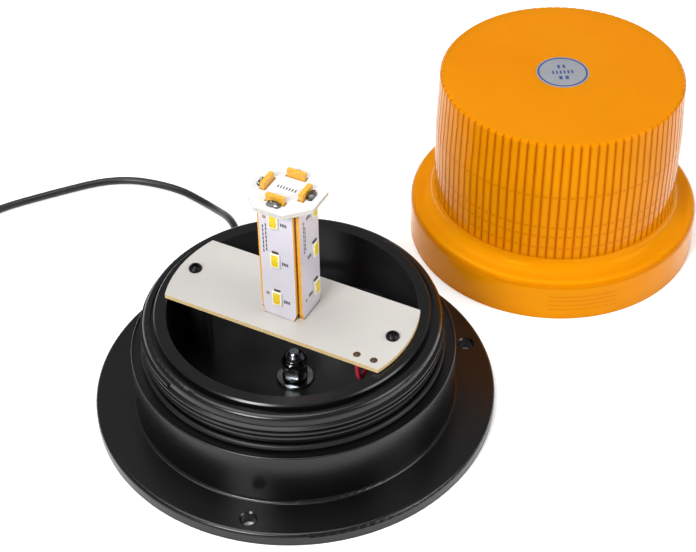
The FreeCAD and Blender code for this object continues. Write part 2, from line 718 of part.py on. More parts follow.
def driver_capacitor():
    """Electrolytic can that hangs under the board, with its crimp groove and base."""
    along, across = CAPACITOR_PLACE
    top = BOARD_BOTTOM
    low = top - CAPACITOR_LENGTH
    radius = CAPACITOR_RADIUS
    can = turned(
        at(0, low), at(radius - 0.6, low), corner(at(radius - 0.6, low + 0.6), 0.6, -90, 0),
        at(radius, top - 3.2), at(radius - 0.4, top - 2.7), at(radius, top - 2.2),
        at(radius, top - 0.4), at(radius - 0.4, top), at(0, top),
    )
    return board_frame(shift(can, V(along, across, 0)))


def rectifier_diode():
    length, width, height = DIODE_SIZE
    along, across = DIODE_PLACE
    top = BOARD_BOTTOM
    body = block(length - 1, width, top - height, top, along, across)
    feet = [block(0.8, width * 0.55, top - height * 0.5, top, along + side * (length / 2 - 0.3), across)
            for side in (1, -1)]
    return board_frame(body.fuse(feet))


def driver_resistors():
    length, width, height = RESISTOR_SIZE
    along, across = RESISTOR_PLACE
    parts = []
    for index in range(RESISTOR_COUNT):
        parts.append(block(width, length, BOARD_BOTTOM - height, BOARD_BOTTOM,
                           along - index * RESISTOR_PITCH, across))
    return board_frame(Part.makeCompound(parts))


def lens_flutes(bottom):
    """Ruled band of straight ribs that follows the lens wall's draft up to the rim."""
    pitch = 360.0 / FLUTE_COUNT
    levels = [(bottom, LENS_WALL_RADIUS), (LENS_DRAFT_FROM, LENS_WALL_RADIUS),
              (LENS_HEIGHT - LENS_RIM_CHAMFER, LENS_TOP_RADIUS),
              (LENS_HEIGHT, LENS_TOP_RADIUS - LENS_RIM_CHAMFER)]

    def ring(height, radius):
        points = []
        for index in range(FLUTE_COUNT):
            middle = index * pitch
            for turn_by, drop in ((-pitch / 2, FLUTE_DEPTH), (-pitch * FLUTE_LAND / 2, 0.15),
                                  (pitch * FLUTE_LAND / 2, 0.15)):
                angle = math.radians(middle + turn_by)
                reach = radius - drop
                points.append(V(reach * math.cos(angle), reach * math.sin(angle), height))
        return Part.makePolygon(points + points[:1])

    return Part.makeLoft([ring(height, radius) for height, radius in levels], True, True)


def lens_outer():
    """Skirt, cove and the smooth core of the wall that the flutes stand on."""
    skirt_top = SKIRT_RADIUS - SKIRT_TOP_INSET
    cove_radius = LENS_WALL_RADIUS + LENS_COVE
    cove_height = SKIRT_HEIGHT + LENS_COVE
    return turned(
        at(0, 0), at(SKIRT_RADIUS, 0), at(skirt_top, SKIRT_HEIGHT - SKIRT_ROUND),
        corner(at(skirt_top - SKIRT_ROUND, SKIRT_HEIGHT - SKIRT_ROUND), SKIRT_ROUND, 0, 90),
        at(cove_radius, SKIRT_HEIGHT),
        corner(at(cove_radius, cove_height), LENS_COVE, -90, -180),
        at(LENS_WALL_RADIUS - FLUTE_DEPTH, cove_height),
        at(LENS_WALL_RADIUS - FLUTE_DEPTH, LENS_DRAFT_FROM),
        at(LENS_TOP_RADIUS - FLUTE_DEPTH, LENS_HEIGHT - LENS_RIM_CHAMFER),
        at(LENS_TOP_RADIUS - FLUTE_DEPTH - LENS_RIM_CHAMFER, LENS_HEIGHT),
        at(0, LENS_HEIGHT),
    )


def lens_inner():
    """Hollow of the lens: threaded skirt, rounded step and drafted bowl."""
    skirt = THREAD_RADIUS + SKIRT_THREAD_CLEARANCE
    cove_radius = LENS_WALL_RADIUS + LENS_COVE
    cove_height = SKIRT_HEIGHT + LENS_COVE
    reach = LENS_COVE + LENS_COVE_WALL
    ceiling = LENS_HEIGHT - LENS_TOP_WALL
    bowl = cove_radius - reach
    top = LENS_TOP_RADIUS - LENS_WALL
    return turned(
        at(0, -CUT_SPARE), at(skirt, -CUT_SPARE), at(skirt, cove_height - reach - 0.5),
        at(skirt - 0.5, cove_height - reach), at(cove_radius, cove_height - reach),
        corner(at(cove_radius, cove_height), reach, -90, -180),
        at(bowl, LENS_DRAFT_FROM), at(top, ceiling - 1.2),
        corner(at(top - 1.2, ceiling - 1.2), 1.2, 0, 90), at(0, ceiling),
    )


def inner_rings():
    """Shallow rings inside the bowl that spread the light up and down."""
    wall = LENS_WALL_RADIUS - LENS_COVE_WALL
    half = INNER_RING_WIDTH / 2
    return [turned(at(wall + 0.2, height - half), at(wall - INNER_RING_DEPTH, height),
                   at(wall + 0.2, height + half)) for height in INNER_RING_HEIGHTS]


def grip_threads():
    """Female thread of the skirt, moulded as short interrupted ridges."""
    wall = THREAD_RADIUS + SKIRT_THREAD_CLEARANCE
    crest = THREAD_CORE + LOOSE
    half = THREAD_PITCH * 0.3
    ridges = []
    for segment in range(GRIP_SEGMENT_COUNT):
        angle = GRIP_FIRST_ANGLE + 360.0 * segment / GRIP_SEGMENT_COUNT
        lift = THREAD_PITCH * segment / GRIP_SEGMENT_COUNT
        for index in range(GRIP_RIDGE_COUNT):
            middle = THREAD_BOTTOM - SEAT_HEIGHT + THREAD_PITCH * (index + 0.5) + lift
            ridge = turned(
                at(wall + 0.3, middle - half), at(wall, middle - half), at(crest, middle - half / 2),
                at(crest, middle + half / 2), at(wall, middle + half), at(wall + 0.3, middle + half),
                arc_degrees=GRIP_SEGMENT_ARC,
            )
            ridges.append(turn(ridge, angle - GRIP_SEGMENT_ARC / 2))
    return ridges


def lens():
    outer = lens_outer().fuse(lens_flutes(SKIRT_HEIGHT + LENS_COVE))
    shell = outer.cut(lens_inner()).fuse(inner_rings() + grip_threads())
    return shift(shell, LENS_AXIS)


def lens_label():
    label = turned(at(0, LENS_HEIGHT), at(LABEL_RADIUS, LENS_HEIGHT),
                   at(LABEL_RADIUS, LENS_HEIGHT + LABEL_THICKNESS), at(0, LENS_HEIGHT + LABEL_THICKNESS))
    return shift(label, LENS_AXIS)


def gland_point(radius, height=GLAND_HEIGHT):
    angle = math.radians(GLAND_ANGLE)
    return V(radius * math.cos(angle), radius * math.sin(angle), height)


def boot_outline(root, tip_radius, root_radius, length, grooves):
    """Steps of a tapered, grooved boot that points up from root, on its outer side."""
    steps = []
    ring = length / (grooves + 0.5)
    for index in range(grooves):
        low = root + (index + 0.35) * ring
        share = (low - root) / length
        radius = root_radius + (tip_radius - root_radius) * share
        steps += [at(radius, low), at(radius - 0.7, low), at(radius - 0.7, low + ring * 0.35),
                  at(radius - 0.1, low + ring * 0.35)]
    steps += [at(tip_radius, root + length - 0.4), at(tip_radius - 0.4, root + length)]
    return steps


def cable_grommet():
    """Rubber grommet: flange inside, neck through the wall, flange and boot outside."""
    bore = CABLE_RADIUS + SLIP
    inside = math.sqrt(CAVITY_RADIUS ** 2 - GROMMET_FLANGE_RADIUS ** 2) - SLIP
    outside = BODY_RADIUS + SLIP
    body = turned(
        at(bore, inside - GROMMET_FLANGE), at(GROMMET_FLANGE_RADIUS - 0.4, inside - GROMMET_FLANGE),
        at(GROMMET_FLANGE_RADIUS, inside - GROMMET_FLANGE + 0.4),
        at(GROMMET_FLANGE_RADIUS, inside), at(GROMMET_NECK_RADIUS, inside),
        at(GROMMET_NECK_RADIUS, outside), at(GROMMET_FLANGE_RADIUS, outside),
        at(GROMMET_FLANGE_RADIUS, outside + GROMMET_FLANGE - 0.4),
        at(GROMMET_FLANGE_RADIUS - 0.4, outside + GROMMET_FLANGE),
        *boot_outline(outside + GROMMET_FLANGE, BOOT_TIP_RADIUS, GROMMET_NECK_RADIUS + 0.4,
                      BOOT_LENGTH, BOOT_GROOVE_COUNT),
        at(bore, outside + GROMMET_FLANGE + BOOT_LENGTH),
    )
    laid = turn(body, 90, V(0, 1, 0))
    return shift(turn(laid, GLAND_ANGLE), V(0, 0, GLAND_HEIGHT))


def boot_end():
    return BODY_RADIUS + SLIP + GROMMET_FLANGE + BOOT_LENGTH


def cable_start():
    return CAVITY_RADIUS - GROMMET_FLANGE - CABLE_INSIDE


def cable_entry():
    """Straight stretch of the cable inside the grommet, stripped at its inner end."""
    start = gland_point(cable_start())
    return Part.makeCylinder(CABLE_RADIUS, boot_end() - cable_start(), start, gland_point(1, 0))


def power_cable():
    """Free cable from the end of the boot to the coil."""
    exit_run = [gland_point(boot_end()), gland_point(boot_end() + CABLE_STRAIGHT)]
    return tube(exit_run + CABLE_ROUTE, CABLE_RADIUS, "power_cable")


def cable_tail():
    """Free cable from the coil to the end of the plug's strain relief."""
    end = V(PLUG_X, PLUG_BACK_Y + SLIP + RELIEF_LENGTH, PLUG_RADIUS)
    return tube(TAIL_ROUTE + [end + V(0, CABLE_STRAIGHT, 0), end], CABLE_RADIUS, "cable_tail")


def plug_cable_end():
    """Straight stretch of the cable inside the strain relief and the plug's back."""
    length = RELIEF_LENGTH + SLIP + PLUG_BORE_FLOOR
    return lay_plug(disc(CABLE_RADIUS, -RELIEF_LENGTH - SLIP, length - RELIEF_LENGTH - SLIP))


def cable_coil():
    inner = COIL_MID_RADIUS - COIL_HALF_WIDTH
    outer = COIL_MID_RADIUS + COIL_HALF_WIDTH
    size = COIL_ROUND
    ring = turned(
        at(inner + size, COIL_BOTTOM), at(outer - size, COIL_BOTTOM),
        corner(at(outer - size, COIL_BOTTOM + size), size, -90, 0), at(outer, COIL_TOP - size),
        corner(at(outer - size, COIL_TOP - size), size, 0, 90), at(inner + size, COIL_TOP),
        corner(at(inner + size, COIL_TOP - size), size, 90, 180), at(inner, COIL_BOTTOM + size),
        corner(at(inner + size, COIL_BOTTOM + size), size, 180, 270),
    )
    return shift(ring, V(COIL_X, COIL_Y, 0))


def coil_tie():
    """Strap round the bundle, a loop in the plane that cuts the coil."""
    low, high = COIL_BOTTOM - TIE_GAP, COIL_TOP + TIE_GAP
    inner = math.sqrt((COIL_MID_RADIUS - COIL_HALF_WIDTH) ** 2 - (TIE_WIDTH / 2) ** 2) - TIE_GAP
    outer = COIL_MID_RADIUS + COIL_HALF_WIDTH + TIE_GAP

    def loop(grow):
        size = COIL_ROUND + grow
        left, right, bottom, top = inner - grow, outer + grow, low - grow, high + grow
        return Part.Face(outline(
            at(left + size, bottom), at(right - size, bottom),
            corner(at(right - size, bottom + size), size, -90, 0), at(right, top - size),
            corner(at(right - size, top - size), size, 0, 90), at(left + size, top),
            corner(at(left + size, top - size), size, 90, 180), at(left, bottom + size),
            corner(at(left + size, bottom + size), size, 180, 270),
        ))

    band = loop(TIE_THICKNESS).cut(loop(0)).extrude(V(0, TIE_WIDTH, 0))
    band = turn(shift(band, V(0, -TIE_WIDTH / 2, 0)), TIE_ANGLE)
    return shift(band, V(COIL_X, COIL_Y, 0))


def lay_plug(shape):
    """From nose up at the origin to its place on the floor, nose towards -Y."""
    return shift(turn(shape, 90, V(1, 0, 0)), V(PLUG_X, PLUG_BACK_Y, PLUG_RADIUS))


def barrel_end():
    return PLUG_HANDLE_LENGTH + PLUG_BARREL_LENGTH


def plug_shell():
    front = barrel_end()
    waist = 1.2
    shell = turned(
        at(CABLE_RADIUS + SLIP, 0), at(PLUG_RADIUS - 1 - PLUG_HANDLE_ROUND, 0),
        corner(at(PLUG_RADIUS - 1 - PLUG_HANDLE_ROUND, PLUG_HANDLE_ROUND), PLUG_HANDLE_ROUND, -90, 0),
        at(PLUG_RADIUS, PLUG_HANDLE_LENGTH * 0.35), at(PLUG_RADIUS, PLUG_HANDLE_LENGTH - waist),
        at(PLUG_BARREL_RADIUS, PLUG_HANDLE_LENGTH), at(PLUG_BARREL_RADIUS, front - 0.6),
        at(PLUG_BARREL_RADIUS - 0.6, front), at(PLUG_BORE_RADIUS, front),
        at(PLUG_BORE_RADIUS, PLUG_BORE_FLOOR), at(CABLE_RADIUS + SLIP, PLUG_BORE_FLOOR),
    )
    groove = disc(PLUG_GRIP_DEPTH, PLUG_HANDLE_LENGTH * 0.4, PLUG_HANDLE_LENGTH * 0.82, PLUG_RADIUS)
    window = block(CONTACT_THICKNESS + CONTACT_TRAVEL + 2.2, CONTACT_WIDTH + 0.6,
                   CONTACT_FROM - 0.4, CONTACT_FROM + CONTACT_LENGTH + 0.4,
                   PLUG_BARREL_RADIUS - (CONTACT_THICKNESS + CONTACT_TRAVEL + 2.2) / 2 + 1.0)
    return lay_plug(shell.cut(around(groove, PLUG_GRIP_COUNT, 360 / PLUG_GRIP_COUNT / 2) + around(window, 2)))


def plug_nose_ring():
    front = barrel_end() + SLIP
    hole = TIP_RADIUS + SLIP
    return lay_plug(turned(
        at(hole, front), at(PLUG_BARREL_RADIUS - 0.6, front), at(PLUG_BARREL_RADIUS - 0.6, front + NOSE_COLLAR - 0.3),
        at(PLUG_BARREL_RADIUS - 0.9, front + NOSE_COLLAR), at(NOSE_RADIUS, front + NOSE_COLLAR),
        at(NOSE_RADIUS - NOSE_TAPER, front + NOSE_LENGTH - 0.5),
        at(NOSE_RADIUS - NOSE_TAPER - 0.5, front + NOSE_LENGTH), at(hole, front + NOSE_LENGTH),
    ))


def plug_tip():
    """Centre contact: a domed pin with a flange that the nose ring holds back."""
    front = barrel_end() - SLIP
    end = barrel_end() + NOSE_LENGTH + TIP_PROUD
    flange = PLUG_BORE_RADIUS - LOOSE
    return lay_plug(turned(
        at(0, front - TIP_FLANGE), at(flange, front - TIP_FLANGE), at(flange, front), at(TIP_RADIUS, front),
        at(TIP_RADIUS, end - TIP_RADIUS * 0.6),
        (at(TIP_RADIUS * 0.75, end - TIP_RADIUS * 0.17), at(TIP_RADIUS * 0.2, end)), at(0, end),
    ))


def fuse_front():
    return barrel_end() - SLIP - TIP_FLANGE - SLIP


def plug_fuse():
    front = fuse_front()
    back = front - FUSE_LENGTH
    thin = FUSE_RADIUS - 0.25
    return lay_plug(turned(
        at(0, back), at(FUSE_RADIUS, back), at(FUSE_RADIUS, back + FUSE_CAP_LENGTH),
        at(thin, back + FUSE_CAP_LENGTH), at(thin, front - FUSE_CAP_LENGTH),
        at(FUSE_RADIUS, front - FUSE_CAP_LENGTH), at(FUSE_RADIUS, front), at(0, front),
    ))


def plug_tip_spring():
    """Coil spring between the bore's floor and the fuse, its wire six-sided."""
    low = PLUG_BORE_FLOOR + SPRING_WIRE + SLIP
    high = fuse_front() - FUSE_LENGTH - SPRING_WIRE - SLIP
    radius = FUSE_RADIUS - SPRING_WIRE
    helix = Part.makeHelix((high - low) / SPRING_TURN_COUNT, high - low, radius)
    helix.translate(V(0, 0, low))
    wire = [at(radius + SPRING_WIRE * math.cos(math.radians(60 * k)),
               low + SPRING_WIRE * math.sin(math.radians(60 * k))) for k in range(6)]
    section = outline(*wire)
    return lay_plug(Part.Wire(helix).makePipeShell([section], True, True))


def side_contact(side):
    """Bowed leaf in a window of the barrel, proud of it in the middle."""
    outer = PLUG_BARREL_RADIUS
    middle = CONTACT_FROM + CONTACT_LENGTH / 2
    end = CONTACT_FROM + CONTACT_LENGTH
    leaf = Part.Face(outline(
        at(outer - CONTACT_THICKNESS, CONTACT_FROM),
        (at(outer + CONTACT_PROUD - CONTACT_THICKNESS, middle), at(outer - CONTACT_THICKNESS, end)),
        at(outer, end), (at(outer + CONTACT_PROUD, middle), at(outer, CONTACT_FROM)),
    )).extrude(V(0, CONTACT_WIDTH, 0))
    leaf = shift(leaf, V(0, -CONTACT_WIDTH / 2, 0))
    return lay_plug(turn(leaf, 0 if side > 0 else 180))


def plug_strain_relief():
    root = SLIP
    boot = turned(
        at(CABLE_RADIUS + SLIP, root), at(RELIEF_ROOT_RADIUS, root),
        *boot_outline(root, RELIEF_TIP_RADIUS, RELIEF_ROOT_RADIUS, RELIEF_LENGTH, RELIEF_GROOVE_COUNT),
        at(CABLE_RADIUS + SLIP, root + RELIEF_LENGTH),
    )
    return lay_plug(turn(boot, 180, V(1, 0, 0)))


def lead_points(along, lift):
    """From the cable's end, round behind the right post, up to a wire hole of the board."""
    hole = board_point(along, -BOARD_WIDTH / 2 + WIRE_HOLE_EDGE, BOARD_TOP)
    route = [gland_point(cable_start() - SEAT_GAP, GLAND_HEIGHT + lift)]
    route += [point + UP * lift for point in LEAD_ROUTE]
    knee = route[-1].z
    return route + [V(hole.x, hole.y + LEAD_RADIUS, knee), hole]


def red_wire():
    return tube(lead_points(RED_HOLE_ALONG, -LEAD_SPREAD), LEAD_RADIUS, "red_wire")


def black_wire():
    return tube(lead_points(BLACK_HOLE_ALONG, LEAD_SPREAD), LEAD_RADIUS, "black_wire")


def nodes():
    parts = {
        "base_housing": base_housing(), "neck_seal": neck_seal(), "magnet_cup": magnet_cup(),
        "magnet_ring": magnet_ring(), "magnet_pad": magnet_pad(), "mounting_stud": mounting_stud(),
        "stud_washer": stud_washer(), "stud_spring_washer": stud_spring_washer(),
        "stud_nut": stud_nut(), "main_board": main_board(), "board_screws": board_screws(),
    }
    for index, name in enumerate(LED_OFFSETS):
        parts["led_board_" + name] = board_frame(turn(column_panel(), 90.0 * index))
    parts.update({
        "cap_board": cap_board(), "led_housings": led_housings(), "led_phosphors": led_phosphors(),
        "board_solder": board_solder(), "driver_chip": driver_chip(),
        "driver_capacitor": driver_capacitor(), "rectifier_diode": rectifier_diode(),
        "driver_resistors": driver_resistors(), "red_wire": red_wire(), "black_wire": black_wire(),
        "lens": lens(), "lens_label": lens_label(), "cable_grommet": cable_grommet(),
        "cable_entry": cable_entry(), "power_cable": power_cable(), "cable_coil": cable_coil(),
        "coil_tie": coil_tie(), "cable_tail": cable_tail(), "plug_cable_end": plug_cable_end(),
        "plug_shell": plug_shell(), "plug_nose_ring": plug_nose_ring(), "plug_tip": plug_tip(),
        "plug_fuse": plug_fuse(), "plug_tip_spring": plug_tip_spring(),
        "plug_side_contact_right": side_contact(1), "plug_side_contact_left": side_contact(-1),
        "plug_strain_relief": plug_strain_relief(),
    })
    return parts


def main():
    os.makedirs("parts", exist_ok=True)
    for name, shape in nodes().items():
        if not shape.isValid() or shape.Volume <= 0:
            print("check this shape:", name, shape.isValid(), shape.Volume)
        shape.exportStep(os.path.join("parts", name + ".step"))


main()
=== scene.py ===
import logging
import math
from collections.abc import Callable, Iterator, Sequence
from contextlib import contextmanager
from dataclasses import dataclass, replace
from enum import Enum

import bmesh
import bpy
from mathutils import Matrix, Vector


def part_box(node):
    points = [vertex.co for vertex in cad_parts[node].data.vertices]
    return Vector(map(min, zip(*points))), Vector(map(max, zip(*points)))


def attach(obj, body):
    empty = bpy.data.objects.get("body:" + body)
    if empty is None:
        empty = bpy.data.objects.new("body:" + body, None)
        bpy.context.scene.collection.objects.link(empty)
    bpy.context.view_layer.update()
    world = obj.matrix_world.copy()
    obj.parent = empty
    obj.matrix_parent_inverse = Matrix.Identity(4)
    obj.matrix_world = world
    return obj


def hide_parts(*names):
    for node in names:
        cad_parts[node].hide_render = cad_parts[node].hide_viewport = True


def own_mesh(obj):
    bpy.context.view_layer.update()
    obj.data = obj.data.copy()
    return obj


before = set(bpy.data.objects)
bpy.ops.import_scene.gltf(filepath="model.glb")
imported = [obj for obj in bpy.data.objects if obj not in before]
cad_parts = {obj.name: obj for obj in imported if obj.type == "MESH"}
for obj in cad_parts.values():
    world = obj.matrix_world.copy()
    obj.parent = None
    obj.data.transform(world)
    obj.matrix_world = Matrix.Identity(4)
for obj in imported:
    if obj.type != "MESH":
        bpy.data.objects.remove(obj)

LOG = logging.getLogger("strobe_light")
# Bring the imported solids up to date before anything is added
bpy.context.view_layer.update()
# One millimetre in metres, the scene's unit
MM = 0.001
# Widest step of an arc, and the angle past which an edge stays sharp
ARC_STEP = math.radians(15)
SMOOTH_ANGLE = math.radians(32)
# Distance within which doubled vertices merge, in metres
MERGE = 2e-6
# Linear white with an alpha of 1
WHITE = (1.0, 1.0, 1.0, 1.0)
# Axis of the lens, turn of the LED column and its boards, and the wire holes, in millimetres and degrees
LENS_CENTRE = (102.9, 85.6)
BOARD_TURN = -30.75
WIRE_HOLES = ((20.4, -26.8), (25.7, -29.95))

Pair = tuple[float, float]
Triple = tuple[float, float, float]
Outline = Sequence[Pair]
Piece = bpy.types.Object
Socket = bpy.types.NodeSocket
Tree = bpy.types.NodeTree


class Body(Enum):
    """Bodies of the frame that pieces ride on."""

    BASE = "base"
    LENS = "lens"


class Cap(Enum):
    """How an end of a turned outline closes."""

    LOOP = "loop"
    AXIS = "axis"


def linear(colour: str) -> tuple[float, float, float, float]:
    """Turn a six-digit sRGB hex colour into linear values.

    Args:
        colour: Six hex digits, such as "c08020".

    Returns:
        Linear red, green and blue, and an alpha of 1.
    """
    channels = [int(colour[index:index + 2], 16) / 255 for index in (0, 2, 4)]
    values = [c / 12.92 if c <= 0.04045 else ((c + 0.055) / 1.055) ** 2.4 for c in channels]
    return (values[0], values[1], values[2], 1.0)


def add_node(tree: Tree, kind: str, inputs: dict | None = None, **settings) -> bpy.types.Node:
    """Add one shader node with its settings and links.

    Args:
        tree: Node tree that gets the node.
        kind: Type name of the node.
        inputs: Constant or output socket for each named or numbered input.
        settings: Attributes of the node itself.

    Returns:
        The new node.
    """
    node = tree.nodes.new(kind)
    for key, value in settings.items():
        setattr(node, key, value)
    for key, value in (inputs or {}).items():
        if isinstance(value, Socket):
            tree.links.new(value, node.inputs[key])
        else:
            node.inputs[key].default_value = value
    return node


def per_mm(size: float) -> float:
    """Scale of a noise or wave texture whose features are size millimetres wide."""
    return 1.0 / (size * MM)


@dataclass(frozen=True)
class Finish:
    """A surface made of one stuff, with patches of colour and a grain.

    Colours are sRGB hex values, and sizes are in millimetres.
    """

    name: str
    colour: str
    second_colour: str
    roughness: Pair
    patch_mm: float
    grain_mm: float
    grain_height_mm: float
    metallic: float = 0.0
    ior: float = 1.5
    specular: float = 0.5
    transmission: float = 0.0
    subsurface: float = 0.0
    gloss_colour: str = "ffffff"

    def colour_at(self, tree: Tree, place: Socket) -> Socket:
        """Colour of the surface: two tones in soft patches."""
        noise = add_node(tree, "ShaderNodeTexNoise",
                         {"Vector": place, "Scale": per_mm(self.patch_mm), "Detail": 3.0, "Roughness": 0.55})
        return self.toned(tree, noise.outputs["Fac"], self.colour, self.second_colour)

    def toned(self, tree: Tree, factor: Socket, first: str, second: str) -> Socket:
        """Blend two tones of the stuff by a noise factor.

        Args:
            tree: Node tree that gets the blend.
            factor: Noise from 0 to 1.
            first: Colour where the factor is low.
            second: Colour where it is high.

        Returns:
            The blended colour.
        """
        share = add_node(tree, "ShaderNodeMapRange", {"Value": factor, "From Min": 0.35, "From Max": 0.65})
        return add_node(tree, "ShaderNodeMixRGB", {"Fac": share.outputs["Result"], "Color1": linear(first),
                                                   "Color2": linear(second)}).outputs[0]

    def height_at(self, tree: Tree, place: Socket) -> Socket:
        """Height of the surface's grain, from 0 to 1."""
        noise = add_node(tree, "ShaderNodeTexNoise",
                         {"Vector": place, "Scale": per_mm(self.grain_mm), "Detail": 2.0})
        return noise.outputs["Fac"]

    def material(self) -> bpy.types.Material:
        """Make the material of this finish, once.

        Returns:
            The new material, or the one made before.
        """
        made = bpy.data.materials.get(self.name)
        if made:
            return made
        made = bpy.data.materials.new(self.name)
        made.use_nodes = True
        tree = made.node_tree
        tree.nodes.clear()
        place = add_node(tree, "ShaderNodeTexCoord").outputs["Object"]
        height = self.height_at(tree, place)
        rough = add_node(tree, "ShaderNodeMapRange",
                         {"Value": height, "To Min": self.roughness[0], "To Max": self.roughness[1]})
        bump = add_node(tree, "ShaderNodeBump",
                        {"Height": height, "Strength": 1.0, "Distance": self.grain_height_mm * MM})
        shader = add_node(tree, "ShaderNodeBsdfPrincipled", {
            "Base Color": self.colour_at(tree, place), "Roughness": rough.outputs["Result"],
            "Normal": bump.outputs["Normal"], "Metallic": self.metallic, "IOR": self.ior,
            "Specular IOR Level": self.specular, "Specular Tint": linear(self.gloss_colour),
            "Transmission Weight": self.transmission, "Subsurface Weight": self.subsurface,
        })
        add_node(tree, "ShaderNodeOutputMaterial", {"Surface": shader.outputs["BSDF"]})
        return made


@dataclass(frozen=True)
class TurnedMetal(Finish):
    """Metal with fine rings left by a lathe or a die, across its axis."""

    ring_mm: float = 0.12

    def height_at(self, tree: Tree, place: Socket) -> Socket:
        """Fine rings along Z, broken up by noise."""
        wave = add_node(tree, "ShaderNodeTexWave",
                        {"Vector": place, "Scale": per_mm(self.ring_mm) / 20, "Distortion": 3.0,
                         "Detail": 2.0, "Detail Scale": 2.0}, bands_direction="Z")
        return wave.outputs["Fac"]


@dataclass(frozen=True)
class CircuitBoard(Finish):
    """Glass-fibre board: solder mask on its two faces, bare core at its edges and tabs."""

    core_colour: str = "f6e2b4"
    core_second_colour: str = "e8c27c"
    facing: Triple = (0.0, 0.0, 1.0)
    bare_above_mm: float = 1000.0

    def colour_at(self, tree: Tree, place: Socket) -> Socket:
        """Mask colour on the faces, and core colour at the edges and tabs.

        Args:
            tree: Node tree that gets the nodes.
            place: Place on the piece, in object coordinates.

        Returns:
            The colour.
        """
        patch = add_node(tree, "ShaderNodeTexNoise",
                         {"Vector": place, "Scale": per_mm(self.patch_mm), "Detail": 2.0})
        mask = self.toned(tree, patch.outputs["Fac"], self.colour, self.second_colour)
        normal = add_node(tree, "ShaderNodeTexCoord").outputs["Normal"]
        toward = add_node(tree, "ShaderNodeVectorMath", {0: normal, 1: self.facing},
                          operation="DOT_PRODUCT")
        size = add_node(tree, "ShaderNodeMath", {0: toward.outputs["Value"]}, operation="ABSOLUTE")
        edge = add_node(tree, "ShaderNodeMath", {0: size.outputs[0], 1: 0.7}, operation="LESS_THAN")
        split = add_node(tree, "ShaderNodeSeparateXYZ", {"Vector": place})
        above = add_node(tree, "ShaderNodeMath", {0: split.outputs["Z"], 1: self.bare_above_mm * MM},
                         operation="GREATER_THAN")
        bare = add_node(tree, "ShaderNodeMath", {0: edge.outputs[0], 1: above.outputs[0]},
                        operation="MAXIMUM")
        glass = add_node(tree, "ShaderNodeTexNoise", {"Vector": place, "Scale": per_mm(0.5), "Detail": 3.0})
        core = self.toned(tree, glass.outputs["Fac"], self.core_colour, self.core_second_colour)
        mixed = add_node(tree, "ShaderNodeMixRGB", {"Fac": bare.outputs[0], "Color1": mask,
                                                    "Color2": core})
        return mixed.outputs[0]


